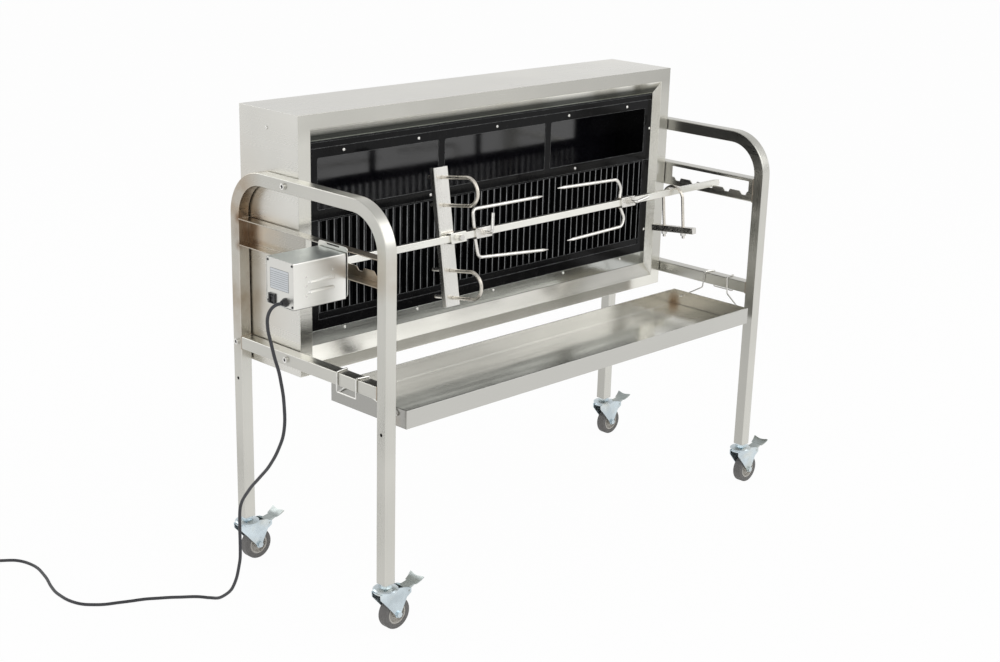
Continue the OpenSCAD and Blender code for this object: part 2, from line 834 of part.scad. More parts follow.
// Output gear with the square socket that takes the spit's end
module output_gear() {
    color("lightgray") centred() difference() {
        union() {
            translate([0, spit_y, spit_z]) along_x(-motor_x - gear_at - gear_w, gear_w)
                rotate([0, 0, 90 + 180 / gear_teeth]) polygon(gear_outline(gear_teeth));
            translate([-motor_x - gear_body, spit_y, spit_z]) rotate([0, 90, 0])
                cylinder(d = socket_d - 6, h = gear_body + standoff - 1);
            translate([-motor_x - rear_plate_at - plate_t - 4, spit_y, spit_z]) rotate([0, 90, 0])
                cylinder(d = 10, h = rear_plate_at + plate_t + 4 - gear_body + 1);
        }
        translate([-motor_x - gear_body + socket_floor, spit_y, spit_z]) rotate([spit_turn, 0, 0])
            translate([0, -sleeve_in / 2, -sleeve_in / 2]) cube([gear_body + 2, sleeve_in, sleeve_in]);
    }
}

rocker_axis_x = -motor_end + 3.4;

module rocker_frame() {
    color([0.05, 0.05, 0.05]) centred() difference() {
        union() {
            translate([-motor_end + end_recess - rocker_flange, rocker_at[0] - 10.5, rocker_at[1] - flange_r])
                cube([rocker_flange, 21, 2 * flange_r]);
            translate([-motor_end, rocker_at[0] - 9, rocker_at[1] - 10]) cube([16, 18, 20]);
        }
        translate([-motor_end - rocker_flange, rocker_at[0] - rocker_w / 2 - 0.4, rocker_at[1] - 9])
            cube([rocker_flange + 12, rocker_w + 0.8, 18]);
        translate([rocker_axis_x, rocker_at[0] - 8, rocker_at[1]]) rotate([-90, 0, 0])
            cylinder(r = 1.5 + run_gap, h = 16);
    }
}

// Rocker of the mains switch, tilted to its off side
module rocker() {
    color([0.1, 0.1, 0.1]) centred()
        translate([rocker_axis_x, rocker_at[0], rocker_at[1]]) rotate([0, -rocker_tilt, 0]) {
            translate([0, -rocker_w / 2, 0]) along_y(0, rocker_w)
                polygon([[5, -6.5], [-4.4, -7], [-2.6, 0], [-4.4, 7], [5, 6.5]]);
            translate([0, -8, 0]) rotate([-90, 0, 0]) cylinder(r = 1.5, h = 16);
        }
}

// Strain relief with its clamping flange, ribbed nose and inner nut
module cord_gland() {
    color([0.06, 0.06, 0.06]) centred() translate([-motor_end + end_recess, gland_at[0], gland_at[1]])
        rotate([0, -90, 0]) rotate_extrude() polygon([[0, -gland_inner], [gland_r, -gland_inner],
            [gland_r, -end_t - seat_gap], [7.5, -end_t - seat_gap], [7.5, 0], [gland_r, 0],
            [gland_r, 2.5], [7.8, 3.5], [7.2, gland_nose - 4], [5.2, gland_nose], [0, gland_nose]]);
}

// Cord

// Point on the smooth curve through b and c
function curve(a, b, c, d, t) = 0.5 * (2 * b + (c - a) * t
    + (2 * a - 5 * b + 4 * c - d) * t * t + (3 * b - a - 3 * c + d) * t * t * t);

// Smooth path through the points p, with s rings for each of their spans
function smooth(p, s) = let(n = len(p), q = concat([2 * p[0] - p[1]], p, [2 * p[n - 1] - p[n - 2]]))
    concat([for (i = [1:n - 1], k = [0:s - 1]) curve(q[i - 1], q[i], q[i + 1], q[i + 2], k / s)],
        [p[n - 1]]);

cord_points = concat([gland_tip + [-0.5, 0, 0]], hang,
    [for (q = lying) [q[0], q[1], floor_z]], [cord_end_from, cord_end]);

// Rings of the free cord, held up to the height at which it lies on the floor
cord_rings = concat([gland_tip],
    [for (q = smooth(cord_points, 3)) [q[0], q[1], max(q[2], floor_z)]]);

module power_cord() {
    color([0.15, 0.15, 0.17]) centred() swept_tube(cord_rings, cord_r, cord_sides, [0, 1, 0]);
}

// Coil in its own frame: the start lies at the middle's left and heads along +X
coil_half_turns = 2 * coil_turns + 0.5;
function coil_radius(t) = t <= coil_turns ? coil_out - coil_step * t
    : t <= coil_turns + 0.5 ? coil_in : coil_in + coil_step * (t - coil_turns - 0.5);
function coil_height(t) = t <= coil_turns ? 0
    : t <= coil_turns + 0.5 ? coil_layer * 2 * (t - coil_turns) : coil_layer;
function coil_point(t) = [coil_radius(t) * sin(360 * t), coil_radius(t) * cos(360 * t) - coil_out,
    coil_height(t)];
coil_steps = coil_rings * coil_half_turns;
coil_loops = [for (i = [0:coil_steps]) coil_point(i / coil_rings)];
coil_start_dir = unit(coil_loops[1] - coil_loops[0]);
coil_end_dir = unit(coil_loops[coil_steps] - coil_loops[coil_steps - 1]);
coil_path = concat([[0, 0, 0] - coil_start_dir * cord_d], coil_loops,
    [coil_loops[coil_steps] + coil_end_dir * cord_d]);

// Least distance between the surfaces of the coil's neighbouring turns
coil_gap = min([for (i = [0:3:coil_steps - 12], j = [i + 12:1:coil_steps])
    norm(coil_loops[i] - coil_loops[j])]) - cord_d;
echo("least gap of the coil to itself", coil_gap);

// Places a piece of the coil's frame at the end of the free cord
module at_cord_end() {
    along = cord_end - cord_end_from;
    translate(cord_end) rotate([0, 0, heading(along) - heading(coil_start_dir)])
        translate(coil_start_dir * cord_d) children();
}

module cord_coil() {
    color([0.15, 0.15, 0.17]) centred() at_cord_end()
        swept_tube(coil_path, cord_r, coil_sides, [0, 1, 0]);
}

// Moulded plug with its strain relief and pins
module plug() {
    color([0.12, 0.12, 0.13]) centred() at_cord_end() translate(coil_path[len(coil_path) - 1])
        rotate([0, 0, heading(coil_end_dir)]) rotate([0, 90, 0]) {
            rotate_extrude() polygon([[0, 0], [5, 0], [6, 16], [12, 24], [12, 46], [11, 48], [0, 48]]);
            for (y = [-6, 6]) translate([0, y, 47]) cylinder(d = 4.8, h = 17);
        }
}

// Spit

// Frame that turns with the spit: X along it, Y backwards, Z up
module on_spit() {
    translate([0, spit_y, spit_z]) rotate([spit_turn, 0, 0]) children();
}

spit_left = -motor_x - gear_body + socket_floor + spit_end_gap;
spit_right = outer_x - spit_end_gap;

// Square bar with its corners turned down where it lies in the racks
module spit_bar() {
    turned_l = 16;
    color("silver") centred() on_spit() difference() {
        along_x(spit_left, spit_right - spit_left) rounded_rect(spit, spit, 0.8);
        mirrored_x() translate([inner_x + rack_t / 2, 0, 0]) rotate([0, 90, 0]) difference() {
            cylinder(r = spit, h = turned_l, center = true);
            cylinder(r = journal_r, h = turned_l + past, center = true);
        }
    }
}

// Square sleeve that slides on the bar, from x over the length l
module sleeve_body(x, l) {
    along_x(x, l) difference() {
        rounded_rect(sleeve_out, sleeve_out, 1.5);
        rounded_rect(sleeve_in, sleeve_in, 0.5);
    }
}

module screw_hole(x) {
    translate([x, 0, 0]) rotate([90, 0, 0]) cylinder(d = rod_d + 2 * screw_gap, h = sleeve_out);
}

// Nut welded to the sleeve's front face
module screw_boss(x) {
    translate([x, -sleeve_face + 0.2, 0]) rotate([90, 0, 0])
        hex_nut(nut_af, nut_h + 0.2, rod_d + 2 * screw_gap);
}

module screwed_sleeve(x, l, screw_x) {
    difference() {
        sleeve_body(x, l);
        screw_hole(screw_x);
    }
    screw_boss(screw_x);
}

// Ends of the sleeves and places of their screws, and the turns of the two handles
brace_sleeve_back = 11;
brace_screw_in = 23;
left_screw_in = 27;
right_screw_in = 23;
brace_sleeve_x = brace_x - brace_sleeve_back;
brace_screw_x = brace_sleeve_x + brace_screw_in;
left_screw_x = left_fork_x + left_screw_in;
right_screw_x = right_fork_x - right_screw_in;
left_handle_turn = 80;
right_handle_turn = 8;
handle_bend = 8;

// Heights of the four bow legs
bow_legs = [bow_offset + bow_w / 2, bow_offset - bow_w / 2, bow_w / 2 - bow_offset, -bow_w / 2 - bow_offset];

// Channel that carries the clamping bows, open to the back
module brace_channel() {
    color("gainsboro") centred() on_spit() translate([brace_x, sleeve_face, -brace_down]) difference() {
        linear_extrude(brace_up + brace_down) intersection() {
            difference() {
                translate([0, brace_depth]) rounded_rect(brace_w, 2 * brace_depth, 3);
                translate([0, brace_depth + brace_t])
                    rounded_rect(brace_w - 2 * brace_t, 2 * brace_depth, 1);
            }
            translate([-brace_w / 2, 0]) square([brace_w, brace_depth]);
        }
        for (z = bow_legs) translate([0, -past, z + brace_down]) rotate([-90, 0, 0])
            cylinder(d = rod_d + 0.8, h = brace_t + 2 * past);
    }
}

module brace_sleeve() {
    color("silver") centred() on_spit()
        screwed_sleeve(brace_sleeve_x, brace_sleeve_l, brace_screw_x);
}

// Bow bent from round bar: two legs along +Y, crown at the reach given in front of the spit
module bow(reach) {
    crown_y = -reach + rod_d / 2 + bow_w / 2;
    end_y = -reach + bow_l;
    for (z = [-bow_w / 2, bow_w / 2]) translate([0, crown_y, z]) rotate([-90, 0, 0])
        cylinder(d = rod_d, h = end_y - crown_y);
    translate([0, crown_y, 0]) rotate([0, 90, 0]) rotate([0, 0, 180])
        rotate_extrude(angle = 180) translate([bow_w / 2, 0]) circle(d = rod_d);
}

module brace_bows() {
    color("silver") centred() on_spit() translate([brace_x, 0, 0]) {
        translate([0, 0, bow_offset]) bow(bow_reach_top);
        translate([0, 0, -bow_offset]) bow(bow_reach_bottom);
    }
}

module brace_nuts() {
    color("lightgray") centred() on_spit() for (z = bow_legs)
        translate([brace_x, sleeve_face + brace_t, z]) rotate([-90, 0, 0])
            hex_nut(nut_af, nut_h, rod_d + 2 * screw_gap);
}

// Hexagon screw that locks the brace to the bar
module brace_screw() {
    color("lightgray") centred() on_spit() translate([brace_screw_x, 0, 0]) rotate([90, 0, 0]) {
        translate([0, 0, spit / 2 + slide_gap]) cylinder(d = rod_d, h = sleeve_face + nut_h - spit / 2 + 2);
        translate([0, 0, sleeve_face + nut_h + 1.5])
            cylinder(d = nut_af / cos(30), h = 5.5, $fn = 6);
    }
}

// Fork of two pointed prongs welded to a sleeve. Their paths start in the sleeve's wall
// and lie in X and Z
module fork_body(x, screw_x, paths, bend) {
    point_l = 22;
    screwed_sleeve(x, fork_sleeve_l, screw_x);
    for (p = paths) {
        tip = p[len(p) - 1];
        last = tip + point_l * unit(p[len(p) - 2] - tip);
        shaft = [for (i = [0:len(p) - 1]) i < len(p) - 1 ? p[i] : last];
        flat = concat(rounded_path(shaft, bend, 6), [tip]);
        swept_tube([for (q = flat) [q[0], 0, q[1]]], rod_d / 2, 12, [0, 1, 0], 0.15);
    }
}

prong_root = sleeve_face - 1;
left_prongs = [[[left_fork_x + 6, prong_root], [left_fork_x + 6, 56], [-8, 54]],
    [[left_fork_x + 6, -prong_root], [left_fork_x + 11, -57], [-5, -76]]];
right_root = right_fork_x - fork_sleeve_l + 5;
right_prongs = [[[right_root, prong_root], [right_root + 9, 37], [right_root - 4, 59], [43, 66]],
    [[right_root, -prong_root], [right_root + 13, -40], [right_root, -60], [63, -65]]];

module left_fork() {
    color("silver") centred() on_spit() fork_body(left_fork_x, left_screw_x, left_prongs, 13);
}

module right_fork() {
    color("silver") centred() on_spit()
        fork_body(right_fork_x - fork_sleeve_l, right_screw_x, right_prongs, 9);
}

// Locking screw bent into a handle; the handle points along turn from +X
module handle_screw(x, turn) {
    translate([x, 0, 0]) rotate([90, 0, 0]) rotate([0, 0, turn]) rotate([90, 0, 0])
        bent_rod([[0, spit / 2 + slide_gap], [0, spit / 2 + handle_out], [handle_l, spit / 2 + handle_out]],
            handle_bend, rod_d);
}

module left_fork_screw() {
    color("silver") centred() on_spit() handle_screw(left_screw_x, left_handle_turn);
}

module right_fork_screw() {
    color("silver") centred() on_spit() handle_screw(right_screw_x, right_handle_turn);
}

// Frame of the hanging leg clamp: the bow's crown rests on the bar's upper corner
module on_clamp() {
    translate([clamp_x, spit_y, spit_z]) rotate([clamp_turn, 0, 0]) children();
}

clamp_lean = abs(spit_turn - clamp_turn);
clamp_corner = spit / 2 * [cos(clamp_lean) - sin(clamp_lean), cos(clamp_lean) + sin(clamp_lean)];
bow_inner_r = (bow_w - rod_d) / 2;
crown_drop = bow_w / 2 - sqrt(bow_inner_r * bow_inner_r - clamp_corner[0] * clamp_corner[0]);
// The crown's height is rounded so that the bow's legs end where its bend starts
clamp_crown = round(100 * (clamp_corner[1] + slide_gap + crown_drop)) / 100;
clamp_bar_w = 16;
clamp_end = clamp_drop + clamp_bar_w / 2 + clamp_tail;

module clamp_bow() {
    middle = clamp_crown - bow_w / 2;
    color("silver") centred() on_clamp() {
        for (y = [-bow_w / 2, bow_w / 2]) translate([0, y, -clamp_end])
            cylinder(d = rod_d, h = middle + clamp_end);
        translate([0, 0, middle]) rotate([90, 0, 90])
            rotate_extrude(angle = 180) translate([bow_w / 2, 0]) circle(d = rod_d);
    }
}

module clamp_bar() {
    color("gray") centred() on_clamp() translate([0, 0, -clamp_drop]) difference() {
        rotate([90, 0, 0]) translate([0, 0, -clamp_bar_l / 2]) linear_extrude(clamp_bar_l)
            rounded_rect(clamp_bar_w, clamp_bar_w, 0.8);
        for (y = [-bow_w / 2, bow_w / 2]) translate([0, y, -clamp_bar_w])
            cylinder(d = rod_d + 2 * run_gap, h = 2 * clamp_bar_w);
    }
}

module clamp_nuts() {
    color("lightgray") centred() on_clamp() for (y = [-bow_w / 2, bow_w / 2])
        translate([0, y, -clamp_drop - clamp_bar_w / 2 - nut_h])
            hex_nut(nut_af, nut_h, rod_d + 2 * run_gap);
}

// Drip tray

tray_x = tray_l / 2;
tray_z = rail_z - tray_drop;
tray_front = -frame_d / 2 - tray_out;
wire_hole_z = tray_z + tray_h - 15;
hook_in = inner_x - wire_d / 2 - seat_gap;
hook_out = outer_x + wire_d / 2 + seat_gap;
hook_top = rail_top + wire_d / 2 + seat_gap;
hook_low = rail_z - tube / 2 - 13;
hole_ys = [tray_front + tray_w - 27, tray_front + 27];
hook_back = 140.4;
hook_span = 84;
hook_ys = [hook_back - gap_y, hook_back - gap_y - hook_span];

module drip_tray() {
    hem = 10;
    color("silver") centred() difference() {
        translate([-tray_x, tray_front, tray_z]) cube([tray_l, tray_w, tray_h]);
        translate([-tray_x + tray_t, tray_front + tray_t, tray_z + tray_t])
            cube([tray_l - 2 * tray_t, tray_w - 2 * tray_t, tray_h - tray_t - hem]);
        translate([-tray_x + 2 * tray_t, tray_front + 2 * tray_t, tray_z + 2 * tray_t])
            cube([tray_l - 4 * tray_t, tray_w - 4 * tray_t, tray_h]);
        for (x = [-tray_x, tray_x], y = hole_ys) translate([x - 2, y, wire_hole_z])
            rotate([0, 90, 0]) cylinder(d = wire_d + 1, h = 4);
    }
}

// Wire hanger: both ends pass through the tray's end wall, and the loop hooks over the rail
module right_hanger_shape() {
    stub = tray_x - 8;
    clear = tray_x + 5;
    swept_tube(rounded_path([[stub, hole_ys[0], wire_hole_z], [clear, hole_ys[0], wire_hole_z],
        [hook_in, hook_ys[0], hook_low], [hook_in, hook_ys[0] - 6, hook_top],
        [hook_out, hook_ys[0] - 12, hook_top], [hook_out, hook_ys[0] - 12, hook_low],
        [hook_out, hook_ys[1] + 8, hook_low], [hook_out, hook_ys[1] + 8, hook_top],
        [hook_in, hook_ys[1] + 4, hook_top], [hook_in, hook_ys[1], hook_low],
        [clear, hole_ys[1], wire_hole_z], [stub, hole_ys[1], wire_hole_z]], 3.5, 3),
        wire_d / 2, 8, [0, 0, 1]);
}

module left_hanger() {
    color("silver") centred() mirror([1, 0, 0]) right_hanger_shape();
}

module right_hanger() {
    color("silver") centred() right_hanger_shape();
}

// Casters

// Fixed half of each swivel: stem, hexagon, bearing cap and the riveted king pin
module caster_stem() {
    translate([0, 0, caster_h - past]) cylinder(d = stem_d, h = stem_l + past);
    translate([0, 0, fork_top + 8]) cylinder(d = 24 / cos(30), h = 9, $fn = 6);
    rotate_extrude() polygon([[0, fork_top - 3.3], [0, fork_top + 9], [race_d / 2 - 12, fork_top + 9],
        [race_d / 2 - 3, fork_top + 6], [race_d / 2, fork_top + 3.6], [race_d / 2, fork_top + 2],
        [race_d / 2 - 2, fork_top + 2], [race_d / 2 - 2, fork_top + 3.6], [6, fork_top + 3.6],
        [6, fork_top - 3.3]]);
    translate([0, 0, fork_top - 6.6]) cylinder(d = 18, h = 3.3);
}

module caster_stems() {
    color("lightblue") centred() mirrored_x() mirrored_y() translate([leg_x, leg_y, 0]) caster_stem();
}

// Pressed fork: two cheeks, a top plate with its raised race, and the axle bolt
module caster_fork() {
    boss_r = 9;
    back = -race_d / 2 + 1;
    color("lightblue") {
        difference() {
            union() {
                mirrored_y() along_y(fork_in, fork_t) difference() {
                    union() {
                        polygon([[back, fork_top], [back + 1, fork_top - 13], [trail - boss_r, axle_z],
                            [trail, axle_z - boss_r / 2], [trail + boss_r, axle_z + 2],
                            [pedal_x - 6, pedal_z - 14], [pedal_x + 7, pedal_z - 6],
                            [pedal_x + 7, pedal_z + 4], [pedal_x - 6, fork_top - 4],
                            [race_d / 2, fork_top]]);
                        translate([trail, axle_z]) circle(boss_r);
                    }
                    translate([trail, axle_z]) circle(d = axle_d + 2 * run_gap);
                    translate([pedal_x, pedal_z]) circle(r = 2.5 + run_gap);
                }
                translate([0, 0, fork_top - 3]) linear_extrude(3) intersection() {
                    circle(d = race_d);
                    square([race_d, 2 * (fork_in + fork_t)], center = true);
                }
                translate([0, 0, fork_top - 3]) cylinder(d = race_d - 4 - 2 * seat_gap, h = 6.3);
            }
            translate([0, 0, fork_top - 4]) cylinder(r = 6 + run_gap, h = 9);
        }
        // Axle bolt with its head and nut
        translate([trail, 0, axle_z]) rotate([90, 0, 0]) {
            cylinder(d = axle_d, h = 2 * (fork_in + fork_t) + 8, center = true);
            for (z = [fork_in + fork_t, -fork_in - fork_t - 5])
                translate([0, 0, z]) cylinder(d = 13 / cos(30), h = 5, $fn = 6);
        }
    }
}

// Grey tyre with rounded shoulders
module caster_tyre() {
    r = wheel_d / 2;
    w = wheel_w / 2;
    color("gray") {
        translate([trail, 0, axle_z]) rotate([90, 0, 0]) rotate_extrude() difference() {
            union() {
                translate([hub_d / 2, -w]) square([r - 4 - hub_d / 2, wheel_w]);
                translate([hub_d / 2, -w + 4]) square([r - hub_d / 2, wheel_w - 8]);
                for (y = [-w + 4, w - 4]) translate([r - 4, y]) circle(4);
            }
            translate([0, -w]) square([hub_d / 2, wheel_w]);
        }
    }
}

// Hub: rim, thin web and bearing boss
module caster_hub() {
    w = wheel_w / 2;
    r = hub_d / 2;
    bore = axle_d / 2 + run_gap;
    color("beige") {
        translate([trail, 0, axle_z]) rotate([90, 0, 0]) rotate_extrude() polygon([[bore, -w - 1],
            [9, -w - 1], [10, -4], [r - 5, -4], [r - 4, -w + 1], [r, -w + 1], [r, w - 1], [r - 4, w - 1],
            [r - 5, 4], [10, 4], [9, w + 1], [bore, w + 1]]);
    }
}

// Brake pedal: arms on a pin in the fork's cheeks, and a flared tread that curves upwards
module caster_pedal() {
    tread_r = 51;
    tread_t = 2;
    slopes = [18, 46];
    steps = 8;
    hollow_r = 60;
    hollow = 4;
    tip = [pedal_reach, pedal_z + 22];
    middle = tip + tread_r * [-sin(slopes[1]), cos(slopes[1])];
    angles = [for (i = [0:steps]) slopes[0] + (slopes[1] - slopes[0]) * i / steps];
    under = [for (a = angles) middle + tread_r * [sin(a), -cos(a)]];
    over = [for (i = [steps:-1:0]) middle + (tread_r - tread_t) * [sin(angles[i]), -cos(angles[i])]];
    root = under[0];
    root_w = pedal_w - 12;
    arm_w = 2 * fork_in - 1;
    color("lightblue") {
        translate([pedal_x, 0, pedal_z]) rotate([90, 0, 0])
            cylinder(r = 2.5, h = 2 * (fork_in + fork_t), center = true);
        along_y(-arm_w / 2, arm_w) polygon([[pedal_x - 4, pedal_z - 5], [pedal_x + 5, pedal_z - 5],
            [pedal_x + 9, pedal_z + 3], root + [3, -0.5], root + [0.5, tread_t - 0.3],
            [pedal_x + 2, pedal_z + 7], [pedal_x - 5, pedal_z + 5]]);
        intersection() {
            along_y(-pedal_w / 2, pedal_w) polygon(concat(under, over));
            translate([0, 0, pedal_z]) linear_extrude(2 * (tip[1] - pedal_z)) difference() {
                polygon([[root[0] - 2, -root_w / 2], [tip[0] + past, -pedal_w / 2],
                    [tip[0] + past, pedal_w / 2], [root[0] - 2, root_w / 2]]);
                translate([tip[0] + hollow_r - hollow, 0]) circle(hollow_r);
            }
        }
    }
}

// Places a piece of one caster under the leg on side sx and sy
module under_leg(sx, sy) {
    centred() translate([sx * leg_x, sy * leg_y, 0]) children();
}

left_hoop();
right_hoop();
lower_rails();
left_rack();
right_rack();
leg_inserts();
frame_bolts();
cabinet_shell();
cabinet_surround();
basket_front();
basket_grate();
screw_strip();
basket_liner();
basket_back();
motor_cover();
motor_end_plate();
motor_bracket();
gear_plate();
motor_can();
motor_pinion();
output_gear();
rocker_frame();
rocker();
cord_gland();
power_cord();
cord_coil();
plug();
spit_bar();
brace_channel();
brace_sleeve();
brace_bows();
brace_nuts();
brace_screw();
left_fork();
left_fork_screw();
right_fork();
right_fork_screw();
clamp_bow();
clamp_bar();
clamp_nuts();
drip_tray();
left_hanger();
right_hanger();
caster_stems();
under_leg(-1, -1) caster_fork();  // fork_fl
under_leg(-1, -1) caster_tyre();  // tyre_fl
under_leg(-1, -1) caster_hub();  // hub_fl
under_leg(-1, -1) caster_pedal();  // pedal_fl
under_leg(-1, 1) caster_fork();  // fork_bl
under_leg(-1, 1) caster_tyre();  // tyre_bl
under_leg(-1, 1) caster_hub();  // hub_bl
under_leg(-1, 1) caster_pedal();  // pedal_bl
under_leg(1, -1) caster_fork();  // fork_fr
under_leg(1, -1) caster_tyre();  // tyre_fr
under_leg(1, -1) caster_hub();  // hub_fr
under_leg(1, -1) caster_pedal();  // pedal_fr
under_leg(1, 1) caster_fork();  // fork_br
under_leg(1, 1) caster_tyre();  // tyre_br
under_leg(1, 1) caster_hub();  // hub_br
under_leg(1, 1) caster_pedal();  // pedal_br
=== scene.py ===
import json
import math

import bmesh
import bpy
from mathutils import Matrix, Vector


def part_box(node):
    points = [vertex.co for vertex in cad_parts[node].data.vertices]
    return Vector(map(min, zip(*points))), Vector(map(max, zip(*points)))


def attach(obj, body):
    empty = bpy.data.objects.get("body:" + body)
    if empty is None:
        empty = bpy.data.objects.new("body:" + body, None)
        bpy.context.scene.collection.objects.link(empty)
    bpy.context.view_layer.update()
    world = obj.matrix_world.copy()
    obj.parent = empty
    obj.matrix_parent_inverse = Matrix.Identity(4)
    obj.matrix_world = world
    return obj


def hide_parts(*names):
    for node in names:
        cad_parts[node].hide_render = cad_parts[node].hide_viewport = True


# The spit roaster: looks for the CAD nodes, the small pieces that they leave out, and the
# photograph's camera, floor and light

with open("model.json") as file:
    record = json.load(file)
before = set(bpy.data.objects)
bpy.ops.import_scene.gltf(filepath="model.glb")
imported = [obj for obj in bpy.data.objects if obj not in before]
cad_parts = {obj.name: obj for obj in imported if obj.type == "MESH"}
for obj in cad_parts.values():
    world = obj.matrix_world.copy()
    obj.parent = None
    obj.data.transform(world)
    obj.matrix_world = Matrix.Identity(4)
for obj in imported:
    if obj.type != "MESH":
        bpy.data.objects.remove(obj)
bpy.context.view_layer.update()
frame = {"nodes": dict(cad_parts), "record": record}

MM = 0.001

# The CAD source measures X from the middle between the side frames
MIDDLE_X = (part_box("left_hoop")[0].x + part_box("right_hoop")[1].x) / 2


def place(x, y, z):
    """A place given in the CAD source's millimetres, in the row frame in metres."""
    return Vector((MIDDLE_X + x * MM, y * MM, z * MM))


def row_x(x):
    """A place across the part, given in the source's millimetres, in the row frame in metres."""
    return place(x, 0, 0).x


# Camera, solved from the straight edges in the photograph. Its place is in the source's
# millimetres, its angles are in degrees and the picture's measures in pixels

IMAGE_W = 1000
IMAGE_H = 662
FOCAL_PX = 1644.0
PRINCIPAL_X = 513.8
PRINCIPAL_Y = 376.1
CAMERA_AT = (-2852.6, -2726.5, 1723.8)
AZIMUTH = -46.31
ELEVATION = 18.66
ROLL = 1.77
SENSOR = 36.0
CAMERA_REACH = 200.0


def make_camera():
    """The camera of the photograph, with its principal point as a lens shift."""
    azimuth, elevation, roll = (math.radians(a) for a in (AZIMUTH, ELEVATION, ROLL))
    back = Vector((math.sin(azimuth) * math.cos(elevation),
                   -math.cos(azimuth) * math.cos(elevation), math.sin(elevation)))
    right = Vector((math.cos(azimuth), math.sin(azimuth), 0))
    up = back.cross(right)
    across = math.cos(roll) * right + math.sin(roll) * up
    along = math.cos(roll) * up - math.sin(roll) * right
    data = bpy.data.cameras.new("camera")
    data.sensor_width = SENSOR
    data.lens = FOCAL_PX * SENSOR / IMAGE_W
    data.shift_x = (IMAGE_W / 2 - PRINCIPAL_X) / IMAGE_W
    data.shift_y = (PRINCIPAL_Y - IMAGE_H / 2) / IMAGE_W
    data.clip_end = CAMERA_REACH
    camera = bpy.data.objects.new("camera", data)
    camera.matrix_world = Matrix.Translation(place(*CAMERA_AT)) @ Matrix(
        (across, along, back)).transposed().to_4x4()
    bpy.context.scene.collection.objects.link(camera)
    bpy.context.scene.camera = camera


make_camera()


# Node helpers

BEVEL_SAMPLES = 6
EDGE_COSINES = (0.80, 0.97)
FACING_COSINES = (0.88, 0.96)
BAND_CORE = 0.6


